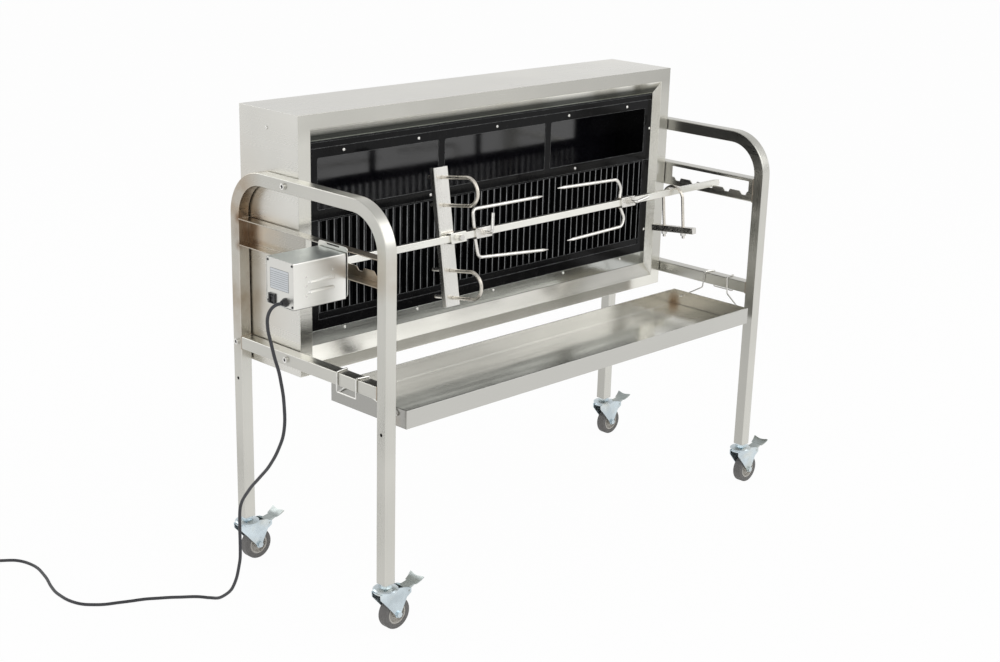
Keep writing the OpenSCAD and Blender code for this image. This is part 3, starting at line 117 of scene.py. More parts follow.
class Shader:
    """A new material with one Principled shader, and short calls for the nodes before it."""

    def __init__(self, name, colour, metallic, roughness):
        self.material = bpy.data.materials.new(name)
        self.material.use_nodes = True
        self.tree = self.material.node_tree
        self.bsdf = self.tree.nodes["Principled BSDF"]
        self.bsdf.inputs["Base Color"].default_value = (*colour, 1)
        self.bsdf.inputs["Metallic"].default_value = metallic
        self.bsdf.inputs["Roughness"].default_value = roughness
        self.coords = self.node("ShaderNodeTexCoord").outputs["Object"]

    def node(self, kind, **values):
        made = self.tree.nodes.new(kind)
        for name, value in values.items():
            setattr(made, name, value)
        return made

    def link(self, source, target):
        self.tree.links.new(source, target)

    def stretched(self, scale, vector=None):
        """Coordinates multiplied by a scale for each axis."""
        made = self.node("ShaderNodeVectorMath", operation="MULTIPLY")
        self.link(vector or self.coords, made.inputs[0])
        made.inputs[1].default_value = scale
        return made.outputs["Vector"]

    def noise(self, scale, detail, rough, vector=None):
        made = self.node("ShaderNodeTexNoise")
        self.link(vector or self.coords, made.inputs["Vector"])
        made.inputs["Scale"].default_value = scale
        made.inputs["Detail"].default_value = detail
        made.inputs["Roughness"].default_value = rough
        return made.outputs["Fac"]

    def ranged(self, value, low, high, new_low, new_high):
        """The value carried from one range over to another, and held inside it."""
        made = self.node("ShaderNodeMapRange", clamp=True)
        self.link(value, made.inputs["Value"])
        for socket, number in zip(("From Min", "From Max", "To Min", "To Max"),
                                  (low, high, new_low, new_high)):
            made.inputs[socket].default_value = number
        return made.outputs["Result"]

    def maths(self, operation, a, b):
        made = self.node("ShaderNodeMath", operation=operation)
        for socket, value in zip(made.inputs, (a, b)):
            if isinstance(value, (int, float)):
                socket.default_value = value
            else:
                self.link(value, socket)
        return made.outputs["Value"]

    def mixed(self, share, a, b, blend="MIX"):
        """Colour a turned towards colour b by the share, each a colour or a socket."""
        made = self.node("ShaderNodeMix", data_type="RGBA", blend_type=blend)
        for socket, value in ((made.inputs["Factor"], share), (made.inputs["A"], a),
                              (made.inputs["B"], b)):
            if hasattr(value, "links"):
                self.link(value, socket)
            elif isinstance(value, (int, float)):
                socket.default_value = value
            else:
                socket.default_value = (*value, 1)
        return made.outputs["Result"]

    def near(self, centre, radius, stretch):
        """1 at a centre, falling to 0 at the radius. Distances count times the stretch of
        their axis."""
        moved = self.node("ShaderNodeVectorMath", operation="SUBTRACT")
        self.link(self.coords, moved.inputs[0])
        moved.inputs[1].default_value = centre
        sized = self.stretched(stretch, moved.outputs["Vector"])
        length = self.node("ShaderNodeVectorMath", operation="LENGTH")
        self.link(sized, length.inputs[0])
        return self.ranged(length.outputs["Value"], 0, radius, 1, 0)

    def facing(self, direction):
        """1 where the surface faces a direction, in the piece's own space."""
        made = self.node("ShaderNodeVectorMath", operation="DOT_PRODUCT")
        self.link(self.node("ShaderNodeTexCoord").outputs["Normal"], made.inputs[0])
        made.inputs[1].default_value = direction
        return self.ranged(made.outputs["Value"], *FACING_COSINES, 0, 1)

    def rounded(self, radius):
        """Normal with the sharp edges rounded to a radius."""
        made = self.node("ShaderNodeBevel", samples=BEVEL_SAMPLES)
        made.inputs["Radius"].default_value = radius
        return made.outputs["Normal"]

    def edges(self, radius):
        """1 along the sharp edges, falling to 0 within the radius."""
        made = self.node("ShaderNodeVectorMath", operation="DOT_PRODUCT")
        self.link(self.rounded(radius), made.inputs[0])
        self.link(self.node("ShaderNodeNewGeometry").outputs["Normal"], made.inputs[1])
        return self.ranged(made.outputs["Value"], *EDGE_COSINES, 1, 0)

    def band(self, axis, centre, half):
        """1 near a plane across the axis named, falling to 0 at half the band's width."""
        away = self.maths("ABSOLUTE", self.maths("SUBTRACT", self.axis(axis), centre), 0)
        return self.ranged(away, half * BAND_CORE, half, 1, 0)

    def axis(self, name):
        made = self.node("ShaderNodeSeparateXYZ")
        self.link(self.coords, made.inputs[0])
        return made.outputs[name]

    def bump(self, height, distance, after=None):
        """Relief of a depth in metres, on top of the normal that comes before it."""
        made = self.node("ShaderNodeBump")
        made.inputs["Distance"].default_value = distance
        self.link(height, made.inputs["Height"])
        if after:
            self.link(after, made.inputs["Normal"])
        self.link(made.outputs["Normal"], self.bsdf.inputs["Normal"])
        return made.outputs["Normal"]

    def set_colour(self, value):
        self.link(value, self.bsdf.inputs["Base Color"])

    def set_roughness(self, value):
        self.link(value, self.bsdf.inputs["Roughness"])


def shade(colour, factor):
    return tuple(min(c * factor, 1.0) for c in colour)


def grey(factor):
    return (factor, factor, factor)


# Colours that more than one look uses, and directions that a look can single out

STEEL = (0.65, 0.642, 0.595)
HEAT_BROWN = (0.36, 0.24, 0.13)
BURNT = (0.22, 0.13, 0.07)
TAN = (0.56, 0.46, 0.34)
WARM_DARKENING = (0.50, 0.44, 0.36)
BLOTCH = (0.40, 0.32, 0.23)
STAIN = (0.20, 0.15, 0.10)
BLACK = (0.004, 0.004, 0.0045)
DUST = (0.06, 0.058, 0.055)
# Colour of a painted highlight on the grate bars' fronts
BAR_HIGHLIGHT = (0.28, 0.285, 0.29)

TOP = (0, 0, 1)
LEFT_SIDE = (-1, 0, 0)
RIGHT_SIDE = (1, 0, 0)
FRONT_SIDE = (0, -1, 0)
LOW_SLOPE = (0, -0.828, 0.56)
TOP_SLOPE = (0, -0.828, -0.56)
RIGHT_SLOPE = (-0.91, -0.414, 0)
HOOD_UNDER = (0, -0.71, -0.71)
HOOD_OVER = (0, -0.71, 0.71)


# Metals

GRAIN_FINE = 420.0
GRAIN_WIDE = 46.0
GRAIN_ALONG = 2.5
GRAIN_ROUGHNESS = 0.05
SPLIT_BLEND = 0.02
CLOUD_SCALE = 3.1
WAVE_SCALE = 4.5
MARK_SCALE = 14
STEEL_DARK = 0.80
STEEL_PALE = 1.16
EDGE_ROUND = 0.0012
FINE_RELIEF = 0.00003
COAT_RELIEF = 0.00004


def grain_scale(axis, across):
    """Scale for each axis that stretches a pattern along the axis named."""
    return tuple(GRAIN_ALONG if a == axis else across for a in "XYZ")


def fine_lines(s, axis):
    return s.noise(1, 3, 0.6, s.stretched(grain_scale(axis, GRAIN_FINE)))


def lines_and_bands(s, axis):
    """Fine lines and wider bands that run along the axis named."""
    return fine_lines(s, axis), s.noise(1, 2, 0.5, s.stretched(grain_scale(axis, GRAIN_WIDE)))


def brushed(name, colour, roughness, grain, streak=0.10, cloud=0.10, wave=0.0006,
            depth=FINE_RELIEF, second=None, split=None, side=None, tints=(), faces=(), fades=(),
            painted_lines=()):
    """Brushed steel: fine lines along the grain, wider bands, soft clouding and slow waves in
    the sheet. Above the height split the lines run along the second axis, and on faces that
    look left or right they run along the side axis, where these are given.

    tints: a colour, a centre, a radius, a stretch for each axis and a strength
    faces: a direction, and a factor for the colour where the sheet faces it, as painted light or
    shade on that side
    fades: a direction, an axis, a start, an end, and the factor that comes in between them, as
    painted light or shade growing along the axis
    painted_lines: a direction, an axis, a place on it, half the line's width and its factor, as a
    painted highlight or painted shade line
    """
    s = Shader(name, colour, 1.0, roughness)
    pair = lines_and_bands(s, grain)
    if second:
        above = s.ranged(s.axis("Z"), split - SPLIT_BLEND, split + SPLIT_BLEND, 0, 1)
        pair = [s.mixed(above, a, b) for a, b in zip(pair, lines_and_bands(s, second))]
    if side:
        sideways = s.maths("ADD", s.facing(LEFT_SIDE), s.facing(RIGHT_SIDE))
        pair = [s.mixed(sideways, a, b) for a, b in zip(pair, lines_and_bands(s, side))]
    fine, wide = pair
    clouds = s.noise(CLOUD_SCALE, 3, 0.55)
    lines = s.maths("ADD", s.ranged(fine, 0.3, 0.7, -0.4, 0.4),
                    s.ranged(wide, 0.35, 0.65, -0.6, 0.6))
    level = s.maths("ADD", s.maths("MULTIPLY", lines, streak / 2),
                    s.ranged(clouds, 0.3, 0.7, 0.5 - cloud * 2, 0.5 + cloud * 2))
    tone = s.mixed(level, shade(colour, STEEL_DARK), shade(colour, STEEL_PALE))
    for tint, centre, radius, stretch, strength in tints:
        patches = s.ranged(s.noise(MARK_SCALE, 4, 0.6), 0.35, 0.6, strength * 0.4, strength)
        tone = s.mixed(s.maths("MULTIPLY", s.near(centre, radius, stretch), patches), tone, tint)
    # Painted light and shade: faces that look one way made lighter or darker
    for direction, factor in faces:
        tone = s.mixed(s.facing(direction), tone, factor, "MULTIPLY")
    # Painted light and shade that grows along an axis on faces that look one way
    for direction, axis, start, end, factor in fades:
        low, high = min(start, end), max(start, end)
        grown = s.ranged(s.axis(axis), low, high, int(start > end), int(start < end))
        tone = s.mixed(s.maths("MULTIPLY", s.facing(direction), grown), tone, factor, "MULTIPLY")
    # Painted highlight and painted shade lines across an axis
    for direction, axis, centre, half, factor in painted_lines:
        line = s.maths("MULTIPLY", s.facing(direction), s.band(axis, centre, half))
        tone = s.mixed(line, tone, factor, "MULTIPLY")
    s.set_colour(tone)
    s.set_roughness(s.maths("ADD", s.ranged(clouds, 0.3, 0.7, roughness - 0.05, roughness + 0.05),
                            s.maths("MULTIPLY", lines, GRAIN_ROUGHNESS)))
    waves = s.bump(s.noise(WAVE_SCALE, 1, 0.4), wave, s.rounded(EDGE_ROUND))
    s.bump(lines, depth, waves)
    return s.material


def bright_metal(name, colour, roughness):
    """Smooth bright steel with faint handling marks."""
    s = Shader(name, colour, 1.0, roughness)
    marks = s.ranged(s.noise(35, 4, 0.6), 0.35, 0.7, 0, 1)
    s.set_colour(s.mixed(marks, shade(colour, 1.08), shade(colour, 0.84)))
    s.set_roughness(s.ranged(s.noise(90, 3, 0.6), 0.3, 0.7, roughness * 0.7, roughness * 1.5))
    s.bump(s.noise(240, 2, 0.5), FINE_RELIEF)
    return s.material


def zinc_plate(name, colour):
    """Zinc plate with soft clouds and a faint yellow tinge in places."""
    s = Shader(name, colour, 1.0, 0.28)
    clouds = s.ranged(s.noise(28, 3, 0.6), 0.35, 0.65, 0, 1)
    cool = s.mixed(clouds, shade(colour, 0.86), shade(colour, 1.12))
    tinge = s.ranged(s.noise(17, 2, 0.5), 0.55, 0.75, 0, 0.45)
    s.set_colour(s.mixed(tinge, cool, (0.72, 0.68, 0.56)))
    s.set_roughness(s.ranged(s.noise(60, 3, 0.6), 0.3, 0.7, 0.20, 0.38))
    s.bump(s.noise(160, 2, 0.5), COAT_RELIEF)
    return s.material


def brass(name):
    s = Shader(name, (0.78, 0.60, 0.28), 1.0, 0.25)
    s.set_colour(s.mixed(s.noise(40, 3, 0.6), (0.84, 0.66, 0.32), (0.62, 0.46, 0.2)))
    s.bump(fine_lines(s, "X"), FINE_RELIEF)
    return s.material


# Coatings, plastics and rubber

# Radius of the pale edges, which stand for wear and a painted highlight
EDGE_WEAR_AND_HIGHLIGHT = 0.0022
BAR_BAND = 1.5 * MM
SCUFFS = (45, 4, 0.65)
LABEL_LINE = 0.9 * MM
DARK_BELOW = 0.1


def enamel(name, colour, roughness, dust=0.25, gloss=0.5, edge=None, bars=None):
    """Coating with a slight orange peel and fine settled dust. Its edges turn to the edge colour,
    partly wear and partly a painted highlight, and the bars' fronts at the depth that bars names
    carry a painted pale highlight, where these are given."""
    s = Shader(name, colour, 0.0, roughness)
    s.bsdf.inputs["Specular IOR Level"].default_value = gloss
    tone = s.mixed(s.ranged(s.noise(60, 4, 0.7), 0.55, 0.8, 0, dust), colour, DUST)
    # Edges turned pale: partly wear, partly a painted highlight along the rounded edges
    if edge:
        patches = s.ranged(s.noise(38, 2, 0.5), 0.3, 0.6, 0.35, 1)
        tone = s.mixed(s.maths("MULTIPLY", s.edges(EDGE_WEAR_AND_HIGHLIGHT), patches), tone, edge)
    # Painted highlight on the bars' front faces
    if bars:
        fronts = s.maths("MULTIPLY", s.facing(FRONT_SIDE), s.band("Y", bars, BAR_BAND))
        patches = s.ranged(s.noise(25, 2, 0.5), 0.35, 0.6, 0.45, 1)
        tone = s.mixed(s.maths("MULTIPLY", fronts, patches), tone, BAR_HIGHLIGHT)
    s.set_colour(tone)
    s.set_roughness(s.ranged(s.noise(9, 3, 0.6), 0.3, 0.7, roughness * 0.75, roughness * 1.35))
    waves = s.bump(s.noise(5, 1, 0.4), 0.0005)
    s.bump(s.noise(300, 2, 0.5), COAT_RELIEF, waves)
    return s.material


def moulded(name, colour, roughness, grain=700.0, depth=0.00005, wear=0.12):
    """Moulded plastic or rubber: a fine even grain, and faint scuffs that are paler than a dark
    colour and darker than a pale one."""
    s = Shader(name, colour, 0.0, roughness)
    scuffs = s.noise(*SCUFFS)
    worn = shade(colour, 1 + 6 * wear if max(colour) < DARK_BELOW else 1 - wear)
    s.set_colour(s.mixed(s.ranged(scuffs, 0.5, 0.75, 0, 1), colour, worn))
    s.set_roughness(s.ranged(scuffs, 0.3, 0.7, roughness - 0.06, roughness + 0.06))
    s.bump(s.noise(grain, 2, 0.5), depth)
    return s.material


def ruled_label(name, colour, line, rows):
    """A bare label with faint ruled lines at the heights named, in millimetres."""
    s = Shader(name, colour, 0.0, 0.35)
    tone = s.mixed(s.ranged(s.noise(*SCUFFS), 0.5, 0.75, 0, 1), colour, shade(colour, 0.95))
    for z in rows:
        tone = s.mixed(s.band("Z", z * MM, LABEL_LINE), tone, line)
    s.set_colour(tone)
    s.bump(s.noise(300, 2, 0.5), 0.00001)
    return s.material


# Where the photograph shows marks of heat and wear, and painted light and shade on faces, slopes
# and lines

EVEN = (1, 1, 1)
TALL = (1, 1, 0.8)

HOOP_SPLIT = 861 * MM
HOOP_MARKS = (
    (HEAT_BROWN, place(-652, 237, 905), 0.10, (1, 1, 0.75), 0.85),
    (BURNT, place(-640, 237, 823), 0.05, TALL, 0.7),
    (BURNT, place(-667, 237, 855), 0.016, EVEN, 1.0),
    (BURNT, place(-667, 237, 792), 0.016, EVEN, 1.0),
    (BLOTCH, place(-650, 237, 660), 0.12, TALL, 0.9),
    (HEAT_BROWN, place(-640, -237, 823), 0.06, TALL, 0.6))
# Painted shade: tube faces that look left are darker, and darker still towards the right hoop
TUBE_FACES = ((LEFT_SIDE, grey(0.86)),)
HOOP_FADES = ((LEFT_SIDE, "X", row_x(0), row_x(500), grey(0.84)),)

RACK_MARKS = (
    (TAN, place(-638, 200, 822), 0.11, (1, 1, 1.2), 0.8),
    (BURNT, place(-638, 222, 822), 0.05, (1, 1.2, 0.6), 1.0),
    (HEAT_BROWN, place(-638, -190, 822), 0.16, (1, 1, 1.4), 0.7))

# A warm darker patch towards the back of the cabinet's left side
CABINET_MARKS = ((WARM_DARKENING, place(-635, 265, 720), 0.28, (1, 1.5, 0.8), 0.7),)
# Painted light: the cabinet's top is paler, and paler still towards the right
CABINET_FACES = ((TOP, grey(1.18)),)
CABINET_FADES = ((TOP, "X", row_x(0), row_x(600), grey(1.13)),)

# Painted light and shade on the surround: the low slope darker and paler towards both ends, the
# right slope paler, the front paler low down and darker high up and towards the right, and the top
# slope darkened towards its lower edge as a painted dark reflection
SURROUND_FACES = ((LOW_SLOPE, grey(0.60)), (RIGHT_SLOPE, grey(1.25)))
SURROUND_FADES = (
    (LOW_SLOPE, "X", row_x(100), row_x(600), grey(1.45)),
    (LOW_SLOPE, "X", row_x(-100), row_x(-600), grey(1.25)),
    (FRONT_SIDE, "Z", 600 * MM, 545 * MM, grey(1.5)),
    (FRONT_SIDE, "Z", 1040 * MM, 1078 * MM, grey(0.86)),
    (FRONT_SIDE, "X", row_x(-640), row_x(640), grey(0.84)),
    (TOP_SLOPE, "Z", 1071 * MM, 1057 * MM, (0.07, 0.075, 0.07)))
# Painted highlight lines along the top slope's edges
SURROUND_HIGHLIGHT_LINES = (
    (TOP_SLOPE, "Z", 1073.5 * MM, 1.2 * MM, grey(1.4)),
    (TOP_SLOPE, "Z", 1044 * MM, 1.3 * MM, grey(7)))

TRAY_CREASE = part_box("drip_tray")[1].y - 4 * MM
TRAY_MARKS = (
    (STAIN, place(606, -24, 484), 0.024, TALL, 1.0),
    (BLOTCH, place(-606, -228, 484), 0.03, EVEN, 0.9))
# Painted light on the tray: its floor paler towards the right, its front paler but for its left
# end, and the right end wall's inner face paler
TRAY_FADES = (
    (TOP, "X", row_x(-100), row_x(600), grey(2.7)),
    (FRONT_SIDE, "X", row_x(-700), row_x(-600), grey(1.55)),
    (LEFT_SIDE, "X", row_x(500), row_x(600), (1.3, 1.24, 1.16)))
# Painted shade line in the floor's crease at the right end, and a painted highlight line along the
# back crease
TRAY_SHADE_AND_HIGHLIGHT_LINES = (
    (TOP, "X", row_x(607.5), 1.6 * MM, grey(0.45)),
    (TOP, "Y", TRAY_CREASE, 1.3 * MM, grey(1.4)))

# Painted light and shade on the motor box: front paler, top tinted as a painted bluish reflection,
# louvre hoods painted dark below and pale above
MOTOR_FACES = ((FRONT_SIDE, grey(1.3)), (TOP, (0.78, 0.84, 0.88)), (HOOD_UNDER, grey(0.3)),
               (HOOD_OVER, grey(1.15)))

BARS_FRONT = 85.2 * MM
LABEL_ROWS = (790, 794.5, 799, 803.5, 808, 812.5, 817, 821.5)

NODE_MATERIALS = {
    "hoops": brushed("frame_tube", STEEL, 0.30, "Z", streak=0.13, cloud=0.11, second="Y",
                     split=HOOP_SPLIT, tints=HOOP_MARKS, faces=TUBE_FACES, fades=HOOP_FADES),
    "rails": brushed("rail_tube", STEEL, 0.30, "Y", faces=TUBE_FACES),
    "left_rack": brushed("left_rack_sheet", (0.44, 0.425, 0.385), 0.28, "Y", tints=RACK_MARKS),
    "right_rack": brushed("right_rack_sheet", STEEL, 0.28, "Y"),
    "cabinet": brushed("cabinet_sheet", (0.69, 0.68, 0.64), 0.30, "X", wave=0.0010, side="Y",
                       tints=CABINET_MARKS, faces=CABINET_FACES, fades=CABINET_FADES),
    "surround": brushed("surround_sheet", (0.66, 0.65, 0.60), 0.20, "X", streak=0.06,
                        faces=SURROUND_FACES, fades=SURROUND_FADES, painted_lines=SURROUND_HIGHLIGHT_LINES),
    "strip": brushed("strip_sheet", (0.50, 0.51, 0.485), 0.16, "X", streak=0.05, wave=0.0004),
    "tray": brushed("tray_sheet", (0.37, 0.366, 0.345), 0.20, "X", streak=0.01, cloud=0.03,
                    wave=0.0002, depth=0.000003, side="Y", tints=TRAY_MARKS, fades=TRAY_FADES,
                    painted_lines=TRAY_SHADE_AND_HIGHLIGHT_LINES),
    "motor": brushed("motor_sheet", (0.70, 0.695, 0.66), 0.33, "X", wave=0.0002, side="Y",
                     faces=MOTOR_FACES),
    "bracket": brushed("bracket_sheet", STEEL, 0.28, "Y"),
    "spit": brushed("spit_steel", (0.88, 0.86, 0.805), 0.28, "X"),
    "brace": brushed("brace_sheet", (0.76, 0.75, 0.71), 0.26, "Z"),
    "bright": bright_metal("bright_steel", (0.74, 0.73, 0.70), 0.18),
    "rod": bright_metal("rod_steel", (0.80, 0.78, 0.74), 0.24),
    "bow": bright_metal("bow_rod", (0.72, 0.68, 0.61), 0.26),
    "weld": bright_metal("weld_bead", (0.46, 0.40, 0.33), 0.34),
    "zinc": zinc_plate("zinc", (0.62, 0.70, 0.74)),
    "pedal": zinc_plate("pedal_zinc", (0.44, 0.48, 0.47)),
    # Pale edges for wear and a painted highlight; pale bar fronts as a painted highlight
    "enamel": enamel("black_enamel", BLACK, 0.12, 0.12, 0.12, edge=(0.20, 0.205, 0.205)),
    "enamel_grate": enamel("grate_enamel", BLACK, 0.16, 0.12, 0.12, edge=(0.20, 0.205, 0.21),
                           bars=BARS_FRONT),
    "enamel_inner": enamel("inner_enamel", BLACK, 0.22, 0.2, 0.2),
    "enamel_mirror": enamel("back_enamel", (0.005, 0.005, 0.007), 0.11, 0.08, 0.85),
    "motor_paint": enamel("motor_paint", (0.10, 0.10, 0.11), 0.35),
    "brass": brass("gear_brass"),
    "plastic": moulded("black_plastic", (0.018, 0.018, 0.019), 0.38),
    "cord": moulded("cord_rubber", (0.030, 0.031, 0.036), 0.42, 900.0, COAT_RELIEF),
    "tyre": moulded("grey_tyre", (0.15, 0.145, 0.14), 0.58, 500.0, 0.00008),
    "hub": moulded("pale_hub", (0.50, 0.48, 0.44), 0.45),
    "label": ruled_label("label_film", (0.66, 0.69, 0.72), (0.36, 0.38, 0.40), LABEL_ROWS),
    "label_edge": moulded("label_edge", (0.30, 0.31, 0.32), 0.4, 300.0, 0.00001, 0.05),
}

SLOT_LOOKS = {
    "brushed_steel": "rails", "sheet_steel": "bracket", "surround_steel": "surround",
    "tray_steel": "tray", "motor_steel": "motor", "spit_steel": "rod", "bright_steel": "bright",
    "black_enamel": "enamel", "zinc": "zinc", "motor_paint": "motor_paint", "gear_brass": "brass",
    "black_plastic": "plastic", "cord_rubber": "cord", "grey_tyre": "tyre", "pale_hub": "hub",
}

NODE_LOOKS = {
    "left_hoop": "hoops", "right_hoop": "hoops", "left_rack": "left_rack",
    "right_rack": "right_rack", "cabinet_shell": "cabinet", "brace_channel": "brace",
    "spit_bar": "spit", "brace_sleeve": "spit", "basket_liner": "enamel_inner",
    "basket_back": "enamel_mirror", "basket_grate": "enamel_grate", "screw_strip": "strip",
    "brace_bows": "bow", "clamp_bow": "bow", "pedal_fl": "pedal", "pedal_bl": "pedal",
    "pedal_fr": "pedal", "pedal_br": "pedal",
}


def dress_cad_nodes():
    """Gives every CAD node the look of its slot, or its own where it has one."""
    for part in frame["record"]["subparts"]:
        node = part["node"]
        look = NODE_LOOKS.get(node, SLOT_LOOKS[part["material_slot"]])
        for slot in frame["nodes"][node].material_slots:
            slot.material = NODE_MATERIALS[look]


dress_cad_nodes()


# Mesh helpers

HEAD_SIDES = 24


def add_object(name, mesh, look, body, smooth=True):
    """A piece that moves with a body, with its look."""
    mesh.materials.append(NODE_MATERIALS[look])
    piece = bpy.data.objects.new(name, mesh)
    bpy.context.scene.collection.objects.link(piece)
    for face in mesh.polygons:
        face.use_smooth = smooth
    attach(piece, body)
    return piece


def aimed(at, direction, turn=0.0):
    """Matrix that puts a shape built along +Z at a place, pointing in a direction."""
    quaternion = Vector(direction).to_track_quat("Z", "Y")
    return Matrix.Translation(at) @ quaternion.to_matrix().to_4x4() @ Matrix.Rotation(turn, 4, "Z")


def revolve(mesh, profile, matrix, sides=HEAD_SIDES):
    """Adds a closed solid of revolution. The profile holds (radius, height) pairs in mm."""
    rings = []
    for radius, height in profile:
        ring = []
        for k in range(sides):
            angle = 2 * math.pi * k / sides
            spot = Vector((radius * math.cos(angle), radius * math.sin(angle), height)) * MM
            ring.append(mesh.verts.new(matrix @ spot))
        rings.append(ring)
    for low, high in zip(rings, rings[1:]):
        for k in range(sides):
            n = (k + 1) % sides
            mesh.faces.new((low[k], low[n], high[n], high[k]))
    mesh.faces.new(rings[0][::-1])
    mesh.faces.new(rings[-1])


def finished(mesh, name):
    """The mesh data of a built mesh, with its faces turned outwards."""
    bmesh.ops.recalc_face_normals(mesh, faces=mesh.faces)
    data = bpy.data.meshes.new(name)
    mesh.to_mesh(data)
    mesh.free()
    return data


def add_tube(mesh, points, radius_at, sides, seed):
    """Tube along points, its first side turned to the seed. radius_at(i, k, length) gives the
    radius at ring i and side k."""
    along_uv = mesh.loops.layers.uv.verify()
    side = seed
    rings = []
    length = 0.0
    lengths = []
    for i, point in enumerate(points):
        ahead = points[min(i + 1, len(points) - 1)] - points[max(i - 1, 0)]
        along = ahead.normalized()
        side = (side - side.dot(along) * along).normalized()
        other = along.cross(side)
        if i:
            length += (point - points[i - 1]).length
        lengths.append(length)
        ring = []
        for k in range(sides):
            angle = 2 * math.pi * k / sides
            offset = math.cos(angle) * side + math.sin(angle) * other
            ring.append(mesh.verts.new(point + radius_at(i, k, length) * offset))
        rings.append(ring)
    for i, (low, high) in enumerate(zip(rings, rings[1:])):
        for k in range(sides):
            n = (k + 1) % sides
            face = mesh.faces.new((low[k], low[n], high[n], high[k]))
            for loop, u, v in zip(face.loops, (k, k + 1, k + 1, k), (i, i, i + 1, i + 1)):
                loop[along_uv].uv = (u / sides, lengths[v])
    mesh.faces.new(rings[0][::-1])
    mesh.faces.new(rings[-1])


# Cord. Its route repeats the CAD source's points, in millimetres. Its twist is in metres

CORD_D = 7.6
CORD_SIDES = 18
CORD_CORES = 3
CORD_LOBE = 0.16
CORD_TWIST = 0.055
CORD_SEED = Vector((0, 1, 0))
CORD_FLOOR = 4
MOTOR_END = 812
GLAND_OUT = 10
GLAND_Y = -114.1
GLAND_Z = 761.796
GLAND_TIP = (-MOTOR_END - GLAND_OUT, GLAND_Y, GLAND_Z)
FIRST_STEP = Vector((-0.5, 0, 0))
HANG = ((-834.9, -114.1, 761.0), (-846.4, -114.2, 756.2), (-855.1, -114.5, 747.2),
        (-859.6, -115, 735.4), (-860.2, -115.8, 721.5), (-858.2, -118, 700), (-850.5, -124, 655),
        (-841, -131, 605), (-836.5, -137, 540), (-836, -130, 475), (-836, -85, 398),
        (-836, -10, 318), (-836, 26, 265), (-836, 31, 205), (-836, 34, 130), (-836, 62, 55),
        (-841, 105, 14))
LYING = ((-852, 140), (-880, 171), (-953, 224), (-1015, 254), (-1060, 280), (-1090, 325),
         (-1092, 400), (-1066, 490), (-1056, 555), (-1070, 607), (-1101, 634), (-1135, 658))
CORD_END_FROM = (-1150, 669, CORD_FLOOR)
CORD_END = (-1168, 682, CORD_FLOOR)
COIL_TURNS = 3
COIL_STEP = 9.6
COIL_LAYER = 8.8
COIL_IN = 30.4
COIL_OUT = COIL_IN + COIL_STEP * COIL_TURNS
COIL_RINGS = 48
COIL_ALL_TURNS = 2 * COIL_TURNS + 0.5
RINGS_PER_SPAN = 10


def curve_point(a, b, c, d, t):
    """Point of a smooth curve through four points, at the share t of the way from b to c."""
    return 0.5 * (2 * b + (c - a) * t + (2 * a - 5 * b + 4 * c - d) * t * t
                  + (3 * b - a - 3 * c + d) * t * t * t)


def smooth_path(points, steps):
    ends = [2 * points[0] - points[1], *points, 2 * points[-1] - points[-2]]
    path = []
    for i in range(1, len(points)):
        for k in range(steps):
            path.append(curve_point(ends[i - 1], ends[i], ends[i + 1], ends[i + 2], k / steps))
    return [*path, points[-1]]


def coil_point(t):
    """Point of the coil after t turns, in its own frame in mm. The coil winds inwards on the
    floor, climbs within half a turn and winds outwards on top of itself."""
    if t <= COIL_TURNS:
        radius = COIL_OUT - COIL_STEP * t
        height = 0
    elif t <= COIL_TURNS + 0.5:
        radius = COIL_IN
        height = COIL_LAYER * 2 * (t - COIL_TURNS)
    else:
        radius = COIL_IN + COIL_STEP * (t - COIL_TURNS - 0.5)
        height = COIL_LAYER
    angle = 2 * math.pi * t
    return Vector((radius * math.sin(angle), radius * math.cos(angle) - COIL_OUT, height))


def cord_route():
    """The whole cord's centreline from the gland to the plug, in the row frame."""
    tip = Vector(GLAND_TIP)
    free = [tip + FIRST_STEP, *(Vector(p) for p in HANG),
            *(Vector((x, y, CORD_FLOOR)) for x, y in LYING), Vector(CORD_END_FROM),
            Vector(CORD_END)]
    path = [tip, *smooth_path(free, RINGS_PER_SPAN)]
    for point in path:
        point.z = max(point.z, CORD_FLOOR)
    steps = round(COIL_RINGS * COIL_ALL_TURNS)
    loops = [coil_point(i / COIL_RINGS) for i in range(steps + 1)]
    start = (loops[1] - loops[0]).normalized()
    leave = (loops[-1] - loops[-2]).normalized()
    arrive = Vector(CORD_END) - Vector(CORD_END_FROM)
    turn = math.atan2(arrive.y, arrive.x) - math.atan2(start.y, start.x)
    spin = Matrix.Rotation(turn, 3, "Z")
    first = start * CORD_D
    for point in [*(first + p for p in loops), first + loops[-1] + leave * CORD_D]:
        path.append(Vector(CORD_END) + spin @ point)
    return [place(*p) for p in path]


def twisted_radius(i, k, length):
    """The cores show faintly through the sheath as a slow twist."""
    angle = 2 * math.pi * k / CORD_SIDES
    lobe = math.cos(CORD_CORES * angle + 2 * math.pi * length / CORD_TWIST)
    return (CORD_D / 2 - CORD_LOBE + CORD_LOBE * lobe) * MM


def make_cord():
    path = cord_route()
    mesh = bmesh.new()
    add_tube(mesh, path, twisted_radius, CORD_SIDES, CORD_SEED)
    cord = add_object("mains_cord", finished(mesh, "mains_cord"), "cord", "frame")
    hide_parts("power_cord", "cord_coil")


make_cord()


# Screws, rivets, bolts and the label. Profiles hold (radius, height) pairs; these and all places
# are in the source's millimetres

